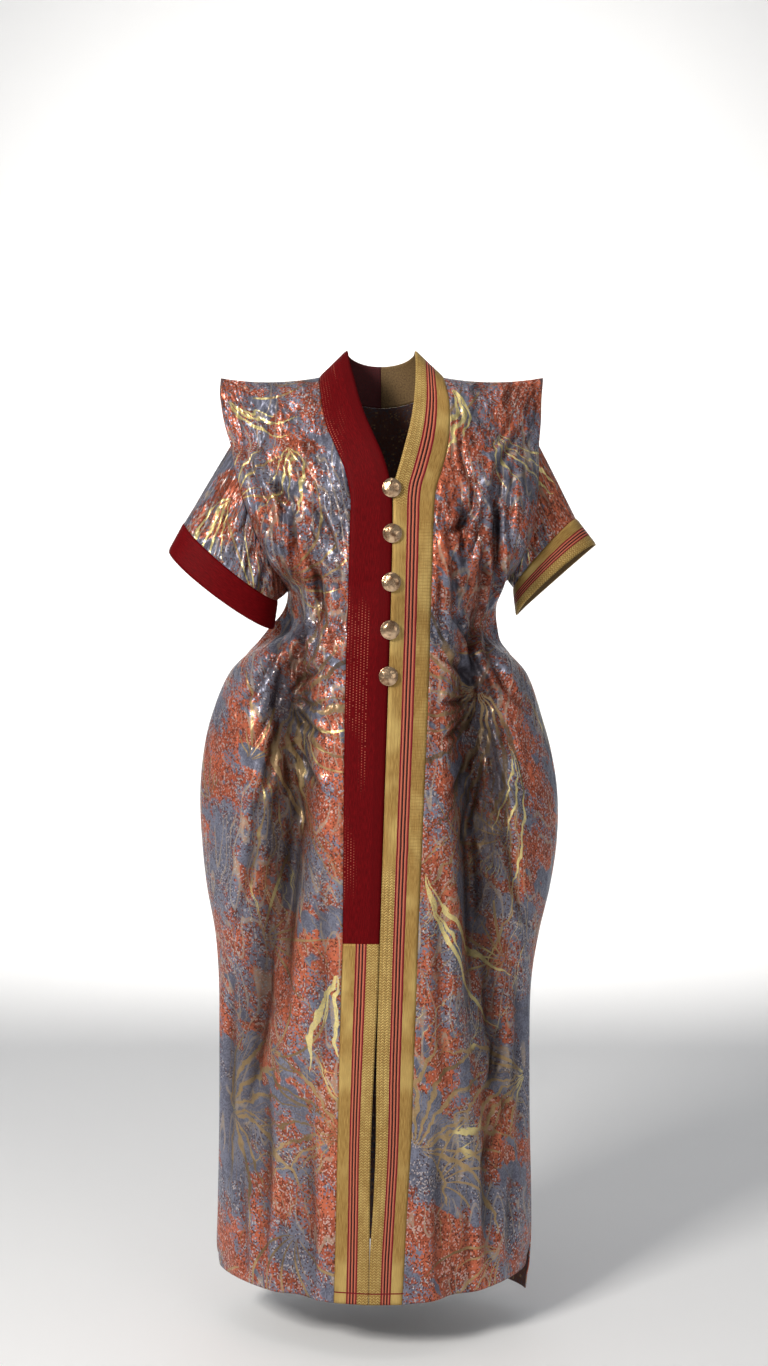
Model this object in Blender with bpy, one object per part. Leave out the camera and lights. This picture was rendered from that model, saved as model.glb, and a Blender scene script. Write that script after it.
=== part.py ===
"""Grand boubou robe, open in front, with band trims, short set-in sleeves and five dome buttons.

Units are metres. +Z is up, the front faces -Y and the wearer's right side is at -X.
The origin is between the shoulders, at the height of the shoulder seams, where the wearer
carries the robe. Every piece of cloth is a patch of one outer form, which FORM, BANDS and
FOLDS describe level by level, given a wall that points inwards.
"""

import bpy
import bmesh
import math
from collections import namedtuple
from mathutils import Vector

NAME = "grand_boubou_robe"

# Driving sizes
WALL = 0.002
BAND_WALL = 0.003
BAND_PROUD = 0.001
SEAM = 0.0003
HEM_LEVEL = 1.380
NOTCH_LEVEL = 0.105
RIGHT_UNDERARM_LEVEL = 0.330
LEFT_UNDERARM_LEVEL = 0.310
RED_END_LEVEL = 0.855
NECK_HALF_WIDTH = 0.095
NECK_BACK_DROP = 0.036
COLLAR_HALF_WIDTH = 0.053
COLLAR_RISE = 0.042
COLLAR_BACK_DEPTH = 0.058
COLLAR_BACK_DROP = 0.014
SHOULDER_SAG = 0.007
SHOULDER_MIDDLE = 0.172
SHOULDER_REACH = 0.078
FLARE_START = 0.88
LEFT_FRONT_GAPE = 0.38
BACK_CORNER_DROP = 0.038
CALM_EDGE = 0.15
SLEEVE_GAP = 0.0005
MITRE_LIMIT = 1.9
CORNER_MITRE = 0.9
CLOSED_LEVEL = 0.225
SAG_REACH = 0.06
NECK_DIP_REACH = 0.14
NECK_DIP_POWER = 0.7
CORNER_LEVEL = 1.25
CORNER_TURN = 0.5
CORNER_REACH = 0.3
EDGE_POWER = 1.5
FOLD_FADE_IN = 0.05
FOLD_FADE_OUT = 0.08
PROBE_TURN = 0.01
SLEEVE_ROUNDNESS = 0.9
SLEEVE_BULGE = 0.02
BULGE_SHARES = Vector((0.3, 1.0, 0.3))
SKEW = Vector((0.31, 0.17, 1.0))

# Numbers of divisions
FRONT_COLUMNS = 14
BACK_SIDE_COLUMNS = 8
BACK_NECK_COLUMNS = 8
BAND_COLUMNS = 2
SLEEVE_STEPS = 5
CUFF_STEPS = 2

# Levels below the shoulder line at which the cloth has a row of corners
ROW_LEVELS = (0.0, 0.008, 0.020, 0.035, 0.058, 0.082, 0.105, 0.135, 0.165, 0.195, 0.225, 0.255,
              0.285, 0.310, 0.330, 0.360, 0.388, 0.408, 0.430, 0.460, 0.500, 0.540, 0.580, 0.625,
              0.670, 0.715, 0.760, 0.805, 0.855, 0.910, 0.970, 1.040, 1.110, 1.180, 1.250, 1.310,
              1.350, 1.380)

# Level: how far below the shoulder line. Right and left: half widths. Front and back: depths at
# the middle. Point: 1 for an elliptic side, 2 for a pointed one. Seam: how far back the side
# seam lies.
Section = namedtuple("Section", "level right left front back point seam")
FORM = (
    Section(0.000, 0.248, 0.251, 0.000, 0.000, 2.0, 0.000),
    Section(0.008, 0.249, 0.251, 0.037, 0.034, 2.0, 0.000),
    Section(0.020, 0.250, 0.250, 0.058, 0.054, 2.0, 0.000),
    Section(0.035, 0.249, 0.249, 0.074, 0.069, 2.0, 0.000),
    Section(0.070, 0.243, 0.248, 0.094, 0.088, 2.0, 0.000),
    Section(0.105, 0.233, 0.245, 0.106, 0.099, 1.9, 0.000),
    Section(0.150, 0.222, 0.243, 0.116, 0.108, 1.6, 0.000),
    Section(0.200, 0.207, 0.238, 0.124, 0.115, 1.3, 0.001),
    Section(0.250, 0.189, 0.229, 0.129, 0.119, 1.1, 0.002),
    Section(0.285, 0.171, 0.215, 0.131, 0.121, 1.0, 0.007),
    Section(0.310, 0.156, 0.199, 0.132, 0.121, 1.0, 0.014),
    Section(0.330, 0.146, 0.186, 0.132, 0.121, 1.0, 0.023),
    Section(0.360, 0.142, 0.173, 0.132, 0.120, 1.0, 0.038),
    Section(0.388, 0.150, 0.166, 0.131, 0.119, 1.0, 0.046),
    Section(0.408, 0.178, 0.177, 0.131, 0.118, 1.0, 0.045),
    Section(0.430, 0.213, 0.205, 0.130, 0.118, 1.0, 0.040),
    Section(0.460, 0.240, 0.230, 0.129, 0.119, 1.1, 0.036),
    Section(0.530, 0.268, 0.254, 0.130, 0.123, 1.2, 0.036),
    Section(0.583, 0.279, 0.268, 0.133, 0.128, 1.2, 0.036),
    Section(0.645, 0.284, 0.277, 0.137, 0.133, 1.2, 0.035),
    Section(0.718, 0.281, 0.276, 0.142, 0.138, 1.2, 0.033),
    Section(0.790, 0.273, 0.265, 0.146, 0.142, 1.25, 0.030),
    Section(0.860, 0.260, 0.248, 0.148, 0.145, 1.3, 0.027),
    Section(0.930, 0.254, 0.236, 0.150, 0.148, 1.35, 0.025),
    Section(1.000, 0.253, 0.2325, 0.152, 0.150, 1.4, 0.024),
    Section(1.150, 0.253, 0.2325, 0.154, 0.154, 1.45, 0.022),
    Section(1.300, 0.2555, 0.235, 0.156, 0.158, 1.5, 0.021),
    Section(1.350, 0.2565, 0.232, 0.156, 0.159, 1.5, 0.020),
    Section(1.380, 0.252, 0.226, 0.156, 0.160, 1.5, 0.020),
)

# Around the arms. Gape: half depth of an armhole. Curl: degrees that the left front rolls back
# behind its own fold. Flare: how much wider the back is than the front under the arm.
Arm = namedtuple("Arm", "level gape_right gape_left curl flare_right flare_left")
ARMS = (
    Arm(0.105, 0.000, 0.000, 0, 0.000, 0.000),
    Arm(0.135, 0.030, 0.030, 10, 0.000, 0.000),
    Arm(0.165, 0.045, 0.045, 18, 0.000, 0.000),
    Arm(0.195, 0.055, 0.055, 24, 0.000, 0.000),
    Arm(0.225, 0.061, 0.061, 27, 0.000, 0.000),
    Arm(0.255, 0.062, 0.056, 25, 0.000, 0.000),
    Arm(0.285, 0.053, 0.042, 20, 0.000, 0.000),
    Arm(0.310, 0.035, 0.000, 11, 0.000, 0.000),
    Arm(0.330, 0.000, 0.000, 3, 0.000, 0.000),
    Arm(0.360, 0.000, 0.000, 0, 0.012, 0.008),
    Arm(0.388, 0.000, 0.000, 0, 0.028, 0.018),
    Arm(0.408, 0.000, 0.000, 0, 0.016, 0.012),
    Arm(0.430, 0.000, 0.000, 0, 0.000, 0.000),
)

# Places across the front: the band seams and the bands' free edges. A rise says how much
# higher the free edge is than the seam, and lean how far back it stands from the form.
Station = namedtuple(
    "Station", "level red_seam red_edge red_rise gold_edge gold_rise gold_seam lean"
)
BANDS = (
    Station(0.000, -0.095, -0.053, 0.042, 0.053, 0.042, 0.095, 0.000),
    Station(0.020, -0.093, -0.048, 0.040, 0.053, 0.036, 0.099, 0.024),
    Station(0.045, -0.090, -0.040, 0.034, 0.052, 0.026, 0.103, 0.028),
    Station(0.070, -0.086, -0.032, 0.026, 0.049, 0.018, 0.104, 0.020),
    Station(0.095, -0.079, -0.021, 0.018, 0.044, 0.012, 0.103, 0.012),
    Station(0.125, -0.066, -0.009, 0.019, 0.036, 0.009, 0.099, 0.005),
    Station(0.155, -0.054, 0.003, 0.020, 0.028, 0.008, 0.091, 0.001),
    Station(0.185, -0.047, 0.0125, 0.017, 0.0200, 0.008, 0.082, 0.000),
    Station(0.205, -0.0445, 0.0160, 0.010, 0.0180, 0.005, 0.0795, 0.000),
    Station(0.235, -0.0455, 0.0170, 0.000, 0.0176, 0.000, 0.078, 0.000),
    Station(0.350, -0.0485, 0.0146, 0.000, 0.0152, 0.000, 0.0745, 0.000),
    Station(0.500, -0.0530, 0.0098, 0.000, 0.0104, 0.000, 0.070, 0.000),
    Station(0.660, -0.0545, 0.0044, 0.000, 0.0050, 0.000, 0.063, 0.000),
    Station(0.855, -0.0560, -0.0020, 0.000, -0.0014, 0.000, 0.0545, 0.000),
    Station(0.930, -0.0585, -0.0045, 0.000, -0.0035, 0.000, 0.052, 0.000),
    Station(1.040, -0.0610, -0.0100, 0.000, -0.0065, 0.000, 0.048, 0.000),
    Station(1.150, -0.0635, -0.0145, 0.000, -0.0075, 0.000, 0.044, 0.000),
    Station(1.250, -0.0655, -0.0160, 0.000, -0.0120, 0.000, 0.038, 0.000),
    Station(1.310, -0.0670, -0.0165, 0.000, -0.0150, 0.000, 0.035, 0.000),
    Station(1.380, -0.0690, -0.0178, 0.000, -0.0170, 0.000, 0.031, 0.000),
)

# Largest folds. Each row is one place along a fold: the level, where it lies across the
# body, its half width and how far it goes in (a negative depth stands out).
Crease = namedtuple("Crease", "fold face level place spread depth")
FOLDS = (
    Crease("right_arm_valley", "front", 0.400, -0.140, 0.045, 0.010),
    Crease("right_arm_valley", "front", 0.480, -0.142, 0.055, 0.044),
    Crease("right_arm_valley", "front", 0.620, -0.140, 0.060, 0.050),
    Crease("right_arm_valley", "front", 0.750, -0.148, 0.065, 0.042),
    Crease("right_arm_valley", "front", 0.870, -0.172, 0.065, 0.030),
    Crease("right_arm_valley", "front", 1.020, -0.196, 0.060, 0.022),
    Crease("right_arm_valley", "front", 1.200, -0.200, 0.060, 0.010),
    Crease("left_arm_valley", "front", 0.400, 0.150, 0.045, 0.010),
    Crease("left_arm_valley", "front", 0.480, 0.148, 0.055, 0.044),
    Crease("left_arm_valley", "front", 0.640, 0.150, 0.060, 0.050),
    Crease("left_arm_valley", "front", 0.790, 0.154, 0.060, 0.040),
    Crease("left_arm_valley", "front", 0.940, 0.163, 0.060, 0.028),
    Crease("left_arm_valley", "front", 1.100, 0.172, 0.055, 0.016),
    Crease("left_arm_valley", "front", 1.250, 0.176, 0.055, 0.006),
    Crease("right_chest_gather", "front", 0.130, -0.170, 0.024, 0.004),
    Crease("right_chest_gather", "front", 0.240, -0.140, 0.028, 0.012),
    Crease("right_chest_gather", "front", 0.360, -0.128, 0.024, 0.006),
    Crease("right_bust_hollow", "front", 0.170, -0.095, 0.026, 0.003),
    Crease("right_bust_hollow", "front", 0.270, -0.090, 0.032, 0.012),
    Crease("right_bust_hollow", "front", 0.400, -0.105, 0.028, 0.008),
    Crease("right_bust_hollow", "front", 0.480, -0.118, 0.024, 0.003),
    Crease("left_chest_gather", "front", 0.130, 0.200, 0.026, 0.004),
    Crease("left_chest_gather", "front", 0.240, 0.172, 0.032, 0.014),
    Crease("left_chest_gather", "front", 0.350, 0.150, 0.026, 0.008),
    Crease("left_bust_hollow", "front", 0.160, 0.118, 0.026, 0.004),
    Crease("left_bust_hollow", "front", 0.260, 0.124, 0.030, 0.013),
    Crease("left_bust_hollow", "front", 0.400, 0.126, 0.028, 0.008),
    Crease("right_hem_wave", "front", 0.980, -0.112, 0.034, 0.002),
    Crease("right_hem_wave", "front", 1.200, -0.120, 0.036, 0.008),
    Crease("right_hem_wave", "front", 1.380, -0.124, 0.038, 0.010),
    Crease("left_hem_wave", "front", 1.000, 0.105, 0.032, 0.002),
    Crease("left_hem_wave", "front", 1.220, 0.108, 0.036, 0.008),
    Crease("left_hem_wave", "front", 1.380, 0.112, 0.038, 0.011),
    Crease("back_middle_fold", "back", 0.180, 0.006, 0.030, 0.002),
    Crease("back_middle_fold", "back", 0.560, 0.000, 0.040, 0.016),
    Crease("back_middle_fold", "back", 1.380, -0.010, 0.046, 0.022),
    Crease("back_right_fold", "back", 0.240, -0.100, 0.028, 0.003),
    Crease("back_right_fold", "back", 0.700, -0.108, 0.040, 0.022),
    Crease("back_right_fold", "back", 1.380, -0.122, 0.044, 0.020),
    Crease("back_left_fold", "back", 0.220, 0.096, 0.028, 0.003),
    Crease("back_left_fold", "back", 0.660, 0.104, 0.040, 0.020),
    Crease("back_left_fold", "back", 1.380, 0.116, 0.044, 0.022),
    Crease("back_right_side_fold", "back", 0.440, -0.170, 0.034, 0.008),
    Crease("back_right_side_fold", "back", 0.680, -0.188, 0.040, 0.024),
    Crease("back_right_side_fold", "back", 1.200, -0.196, 0.036, 0.006),
    Crease("back_left_side_fold", "back", 0.440, 0.164, 0.034, 0.008),
    Crease("back_left_side_fold", "back", 0.700, 0.180, 0.040, 0.022),
    Crease("back_left_side_fold", "back", 1.200, 0.182, 0.036, 0.006),
)

# Loops of a sleeve past its armhole: where the top and the underarm ends of the loop lie
# (across, up), the half depth, the middle's place in depth, and how much the front hangs out
Loop = namedtuple("Loop", "top_x top_z low_x low_z half_depth middle_y front_drop")
RIGHT_CUFF_SEAM = Loop(-0.302, -0.225, -0.160, -0.345, 0.057, -0.012, 0.012)
RIGHT_MOUTH = Loop(-0.3255, -0.2680, -0.166, -0.389, 0.056, -0.012, 0.014)
LEFT_CUFF_SEAM = Loop(0.305, -0.217, 0.207, -0.324, 0.046, 0.024, -0.007)
LEFT_MOUTH = Loop(0.336, -0.2575, 0.212, -0.367, 0.046, 0.024, -0.010)

# Buttons, on the edge where the two bands meet
BUTTON_LEVELS = (0.185, 0.2525, 0.3245, 0.395, 0.463)
BUTTON_RADIUS = 0.0142
BUTTON_DEPTH = 0.0075
BUTTON_EDGE = 0.0022
BUTTON_SIDES = 20
BUTTON_RINGS = 4


def read(table, column, level):
    """Value of a table's column at a level, by a smooth curve through the rows."""
    steps = [math.sqrt(row.level) for row in table]
    values = [getattr(row, column) for row in table]
    place = math.sqrt(min(max(level, table[0].level), table[-1].level))
    last = len(table) - 2
    index = min(max(sum(1 for step in steps if step <= place) - 1, 0), last)
    before, after = max(index - 1, 0), min(index + 2, last + 1)
    span = steps[index + 1] - steps[index]
    part = (place - steps[index]) / span
    slopes = (
        (values[index + 1] - values[before]) / (steps[index + 1] - steps[before]),
        (values[after] - values[index]) / (steps[after] - steps[index]),
    )
    square, cube = part * part, part * part * part
    return (
        values[index] * (2 * cube - 3 * square + 1)
        + slopes[0] * span * (cube - 2 * square + part)
        + values[index + 1] * (3 * square - 2 * cube)
        + slopes[1] * span * (cube - square)
    )


def arm(column, level):
    return max(read(ARMS, column, level), 0.0)


def spread_turn(turn, point):
    """Share of the quarter that a turn has run through. Pointed sides are spaced evenly."""
    even = min(max(point - 1, 0.0), 1.0)
    return (1 - even) * turn + even * math.asin(min(turn, 1.0)) * 2 / math.pi


def form_point(face, turn, level):
    """Smooth outer form. Turn runs from -1, the right side, to 1, the left side."""
    side = "left" if turn > 0 else "right"
    rolled = math.radians(arm("curl", level)) if side == "left" else 0.0
    width = read(FORM, side, level)
    flare = arm("flare_" + side, level)
    gape = arm("gape_" + side, level)
    if face == "back":
        width = width * math.cos(rolled) + flare
        rolled = 0.0
    elif side == "left":
        gape *= LEFT_FRONT_GAPE
    sign = -1.0 if face == "front" else 1.0
    last = math.cos(math.pi / 2 + rolled)
    point = read(FORM, "point", level)
    angle = spread_turn(abs(turn), point) * (math.pi / 2 + rolled)
    fall = max((math.cos(angle) - last) / (1 - last), 0.0) ** point
    edge = read(FORM, "seam", level) + sign * gape
    middle = sign * read(FORM, face, level)
    across = width * math.sin(angle)
    if face == "front":
        across += flare * max((abs(turn) - FLARE_START) / (1 - FLARE_START), 0.0) ** EDGE_POWER
    down = level + shoulder_sag(across, level) + corner_drop(face, turn, level)
    return Vector((math.copysign(across, turn), edge + (middle - edge) * fall, -down))


def shoulder_sag(across, level):
    """How far the shoulder line dips between the neck and the raised tips."""
    offset = (abs(across) - SHOULDER_MIDDLE) / SHOULDER_REACH
    return SHOULDER_SAG * max(1 - offset * offset, 0.0) * max(1 - level / SAG_REACH, 0.0)


def corner_drop(face, turn, level):
    """How far the back's hem hangs below the front's at the left side."""
    if face == "front" or turn < CORNER_TURN or level < CORNER_LEVEL:
        return 0.0
    across = math.sin(min((turn - CORNER_TURN) / CORNER_REACH, 1.0) * math.pi / 2) ** 2
    down = (level - CORNER_LEVEL) / (HEM_LEVEL - CORNER_LEVEL)
    return BACK_CORNER_DROP * across * down ** EDGE_POWER


def turn_at(face, across, level):
    """The turn at which the form reaches a place across the body, away from its sides."""
    side = "left" if across > 0 else "right"
    rolled = math.radians(arm("curl", level)) if side == "left" else 0.0
    width = read(FORM, side, level)
    quarter = math.pi / 2
    if face == "back":
        width = width * math.cos(rolled) + arm("flare_" + side, level)
    else:
        quarter += rolled
    goal = math.asin(min(abs(across) / width, 1.0)) / quarter
    point = read(FORM, "point", level)
    low, high = 0.0, 1.0
    for _ in range(40):
        middle = (low + high) / 2
        if spread_turn(middle, point) < goal:
            low = middle
        else:
            high = middle
    return math.copysign((low + high) / 2, across)


def fold_push(face, across, level):
    """How far all the folds together push the cloth in at a place."""
    push = 0.0
    for fold in dict.fromkeys(row.fold for row in FOLDS if row.face == face):
        rows = [row for row in FOLDS if row.fold == fold]
        fade = min(1.0, 1 + (level - rows[0].level) / FOLD_FADE_IN)
        if rows[-1].level < HEM_LEVEL:
            fade = min(fade, 1 + (rows[-1].level - level) / FOLD_FADE_OUT)
        if fade > 0:
            offset = (across - read(rows, "place", level)) / read(rows, "spread", level)
            if abs(offset) < 1:
                push += fade * read(rows, "depth", level) * math.cos(offset * math.pi / 2) ** 2
    return push


def cloth_point(face, turn, level):
    """Point of the folded cloth's outer face."""
    point = form_point(face, turn, level)
    push = fold_push(face, point.x, level) * min((1 - abs(turn)) / CALM_EDGE, 1.0)
    if push:
        here = form_point(face, max(turn - PROBE_TURN, -1.0), level)
        there = form_point(face, min(turn + PROBE_TURN, 1.0), level)
        along = there - here
        inwards = Vector((-along.y, along.x, 0.0)).normalized()
        point += inwards * (push if face == "front" else -push)
    return point


def front_point(across, level):
    return cloth_point("front", turn_at("front", across, level), level)


def steps_between(start, end, count):
    return [start + (end - start) * index / count for index in range(count + 1)]


def front_grid(side):
    """Rows of points from the side edge to the band seam."""
    seam_column = "red_seam" if side == "right" else "gold_seam"
    edge = -1.0 if side == "right" else 1.0
    rows = []
    for level in ROW_LEVELS:
        seam = turn_at("front", read(BANDS, seam_column, level), level)
        turns = steps_between(edge, seam, FRONT_COLUMNS)
        rows.append([cloth_point("front", turn, level) for turn in turns])
    return rows


def back_level(across, level):
    """Level of a row on the back, which dips below the neck at the top."""
    inside = 1 - (across / NECK_HALF_WIDTH) ** 2
    dip = NECK_BACK_DROP * max(inside, 0.0) ** NECK_DIP_POWER
    return level + dip * max(1 - level / NECK_DIP_REACH, 0.0)


def back_grid():
    """Rows of points from the right side edge to the left one."""
    rows = []
    for level in ROW_LEVELS:
        neck_right = turn_at("back", -NECK_HALF_WIDTH, level)
        neck_left = turn_at("back", NECK_HALF_WIDTH, level)
        turns = steps_between(-1.0, neck_right, BACK_SIDE_COLUMNS)
        for place in neck_places()[1:-1]:
            turns.append(turn_at("back", place, level))
        turns += steps_between(neck_left, 1.0, BACK_SIDE_COLUMNS)
        row = []
        for turn in turns:
            across = form_point("back", turn, level).x
            row.append(cloth_point("back", turn, back_level(across, level)))
        rows.append(row)
    return rows


def neck_places():
    """Places across the back of the neck, closer together beside the shoulders."""
    angles = steps_between(math.pi, 0.0, BACK_NECK_COLUMNS)
    return [NECK_HALF_WIDTH * math.cos(angle) for angle in angles]


def collar_stations(side, back_row):
    """Seam and free edge of a band behind the neck, from the middle back to the shoulder."""
    middle = BACK_SIDE_COLUMNS + BACK_NECK_COLUMNS // 2
    stations = []
    for step in range(BACK_NECK_COLUMNS // 2):
        column = middle - step if side == "right" else middle + step
        seam = back_row[column]
        angle = math.asin(max(min(seam.x / NECK_HALF_WIDTH, 1.0), -1.0))
        edge = Vector((
            COLLAR_HALF_WIDTH * math.sin(angle),
            COLLAR_BACK_DEPTH * math.cos(angle),
            COLLAR_RISE - COLLAR_BACK_DROP * math.cos(angle),
        ))
        stations.append((seam, edge))
    return stations


def band_stations(side, first_level, last_level):
    """Seam and free edge of a band down the front."""
    colour = "red" if side == "right" else "gold"
    stations = []
    for level in ROW_LEVELS:
        if first_level <= level <= last_level:
            seam = front_point(read(BANDS, colour + "_seam", level), level)
            across = read(BANDS, colour + "_edge", level)
            edge = front_point(across, level)
            edge.y += max(read(BANDS, "lean", level), 0.0)
            edge.z += read(BANDS, colour + "_rise", level)
            stations.append((seam, edge))
    return stations


def band_grid(stations):
    """Rows of points from the seam to the free edge."""
    rows = []
    for seam, edge in stations:
        rows.append([seam.lerp(edge, part / BAND_COLUMNS) for part in range(BAND_COLUMNS + 1)])
    return rows


def underarm_level(side):
    return RIGHT_UNDERARM_LEVEL if side == "right" else LEFT_UNDERARM_LEVEL


def armhole_loop(side):
    """Edge of the armhole from the notch down the front, under the arm and up the back."""
    edge = -1.0 if side == "right" else 1.0
    lowest = underarm_level(side)
    levels = [level for level in ROW_LEVELS if NOTCH_LEVEL <= level <= lowest]
    front = [cloth_point("front", edge, level) for level in levels]
    back = [cloth_point("back", edge, level) for level in levels]
    return front + back[-2:0:-1]


def sleeve_loop(loop, count):
    """A loop of the sleeve with as many points as the armhole, from the top round the front."""
    points = []
    for index in range(count):
        turn = 2 * math.pi * index / count
        across = (1 - math.cos(turn)) / 2
        front = math.sin(turn)
        chord = Vector((loop.low_x - loop.top_x, 0.0, loop.low_z - loop.top_z))
        outwards = Vector((chord.z, 0.0, -chord.x)).normalized()
        if outwards.z > 0:
            outwards.negate()
        point = Vector((loop.top_x, loop.middle_y, loop.top_z)) + chord * across
        point.y -= loop.half_depth * math.copysign(abs(front) ** SLEEVE_ROUNDNESS, front)
        point += outwards * loop.front_drop * max(front, 0.0)
        points.append(point)
    return points


def tube_grid(first, last, steps, bulge):
    """Rows of loops from one loop to another, filled out by a bulge half way."""
    middle = sum(first + last, Vector()) / (len(first) + len(last))
    rows = []
    for step in range(steps + 1):
        part = step / steps
        row = []
        for start, end in zip(first, last):
            point = start.lerp(end, part)
            away = (point - middle) * BULGE_SHARES
            row.append(point + away * bulge * math.sin(part * math.pi))
        rows.append(row)
    return rows


def grid_normals(grid, closed):
    """Outward direction at each point of a grid, before its sign is settled."""
    count = len(grid[0])
    normals = []
    for index, row in enumerate(grid):
        above, below = grid[max(index - 1, 0)], grid[min(index + 1, len(grid) - 1)]
        line = []
        for column in range(count):
            if closed:
                before, after = (column - 1) % count, (column + 1) % count
            else:
                before, after = max(column - 1, 0), min(column + 1, count - 1)
            across = row[after] - row[before]
            down = below[column] - above[column]
            line.append(across.cross(down).normalized())
        normals.append(line)
    return normals


def share(first, first_place, second, second_place):
    """Give two matched points of neighbouring pieces one mitred direction for their walls."""
    one = first[first_place[0]][first_place[1]]
    other = second[second_place[0]][second_place[1]]
    middle = (one.normalized() + other.normalized()).normalized()
    length = min(1 / max(middle.dot(one.normalized()), 0.01), MITRE_LIMIT)
    first[first_place[0]][first_place[1]] = middle * length
    second[second_place[0]][second_place[1]] = middle * length


def moved_out(grid, normals, distance):
    return [
        [point + normal * distance for point, normal in zip(*pair)]
        for pair in zip(grid, normals)
    ]


def block(name, grid, normals, wall, proud, closed, material, trims):
    """A closed wall over a grid. Trims are the edges that are drawn back for a seam gap."""
    rows, columns = len(grid), len(grid[0])
    outer = moved_out(grid, normals, proud)
    inner = moved_out(grid, normals, proud - wall)
    for layer in (outer, inner):
        draw_back(layer, trims)
    spans = columns if closed else columns - 1
    builder = bmesh.new()
    bmesh.ops.create_grid(builder, x_segments=spans, y_segments=rows - 1, size=0.5)
    raised = bmesh.ops.extrude_face_region(builder, geom=builder.faces[:], use_keep_orig=True)
    for item in raised["geom"]:
        if isinstance(item, bmesh.types.BMVert):
            item.co.z += 1.0
    if closed:
        ends = [face for face in builder.faces if abs(face.calc_center_median().x) > 0.4999]
        bmesh.ops.delete(builder, geom=ends, context="FACES_ONLY")
    places = {}
    for corner in builder.verts:
        row = round((0.5 - corner.co.y) * (rows - 1))
        column = round((corner.co.x + 0.5) * spans)
        places[corner] = (row, column % columns, corner.co.z > 0.5)
    for corner, (row, column, outside) in places.items():
        corner.co = outer[row][column] if outside else inner[row][column]
    for face in builder.faces[:]:
        start, end = diagonal(face, places, outer, normals)
        bmesh.utils.face_split(face, start, end)
    if closed:
        bmesh.ops.remove_doubles(builder, verts=builder.verts, dist=1e-7)
    bmesh.ops.recalc_face_normals(builder, faces=builder.faces)
    return add_object(name, builder, material)


def diagonal(face, places, outer, normals):
    """Corners to join in a face, the same in both layers and on both sides of a seam."""
    corners = list(face.verts)
    layers = {places[corner][2] for corner in corners}
    if len(layers) == 2:
        outside = [corner for corner in corners if places[corner][2]]
        start = max(outside, key=lambda corner: corner.co.dot(SKEW))
        return start, corners[(corners.index(start) + 2) % 4]
    spots = [outer[places[corner][0]][places[corner][1]] for corner in corners]
    out = sum((normals[places[corner][0]][places[corner][1]] for corner in corners), Vector())
    first_stands_out = (spots[0] + spots[2] - spots[1] - spots[3]).dot(out) >= 0
    return (corners[0], corners[2]) if first_stands_out else (corners[1], corners[3])


def draw_back(layer, trims):
    """Move the edge rows or columns of a layer half a seam gap into the piece."""
    for trim in trims:
        if trim in ("top", "bottom", "armhole"):
            edge, inside = (-1, -2) if trim == "bottom" else (0, 1)
            gap = SLEEVE_GAP if trim == "armhole" else SEAM / 2
            for column in range(len(layer[0])):
                drawn = (layer[inside][column] - layer[edge][column]).normalized() * gap
                layer[edge][column] = layer[edge][column] + drawn
        else:
            edge, inside = (0, 1) if trim == "first" else (-1, -2)
            for row in layer:
                row[edge] = row[edge] + (row[inside] - row[edge]).normalized() * SEAM / 2


def part_seams(name, grid):
    """Move the edges where front and back meet half a seam gap forwards or backwards."""
    aside = Vector((0.0, SEAM / 2 if name == "back" else -SEAM / 2, 0.0))
    columns = len(grid[0])
    shoulder = set(range(columns))
    if name == "back":
        shoulder -= set(range(BACK_SIDE_COLUMNS + 1, columns - 1 - BACK_SIDE_COLUMNS))
        for column in range(BACK_SIDE_COLUMNS + 1, columns - 1 - BACK_SIDE_COLUMNS):
            drawn = (grid[1][column] - grid[0][column]).normalized() * SEAM / 2
            grid[0][column] = grid[0][column] + drawn
    sides = (0, columns - 1) if name == "back" else (0,)
    for row, points in enumerate(grid):
        for column in range(columns):
            if column in sides or (row == 0 and column in shoulder):
                points[column] = points[column] + aside


def add_object(name, mesh_builder, material):
    mesh = bpy.data.meshes.new(name)
    mesh_builder.to_mesh(mesh)
    mesh_builder.free()
    mesh.materials.append(material)
    mesh.shade_smooth()
    piece = bpy.data.objects.new(name, mesh)
    collection.objects.link(piece)
    return piece


def finish(name, colour, roughness, metallic):
    material = bpy.data.materials.new(name)
    material.use_nodes = True
    shader = material.node_tree.nodes["Principled BSDF"]
    shader.inputs["Base Color"].default_value = (*colour, 1.0)
    shader.inputs["Roughness"].default_value = roughness
    shader.inputs["Metallic"].default_value = metallic
    return material


def flatten_y(normals, row, columns):
    """Directions along an edge where front and back lie against each other."""
    for column in columns:
        direction = normals[row][column]
        flat = Vector((direction.x, 0.0, direction.z))
        size = max(flat.length, 1 / MITRE_LIMIT)
        normals[row][column] = flat.normalized() / size


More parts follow.
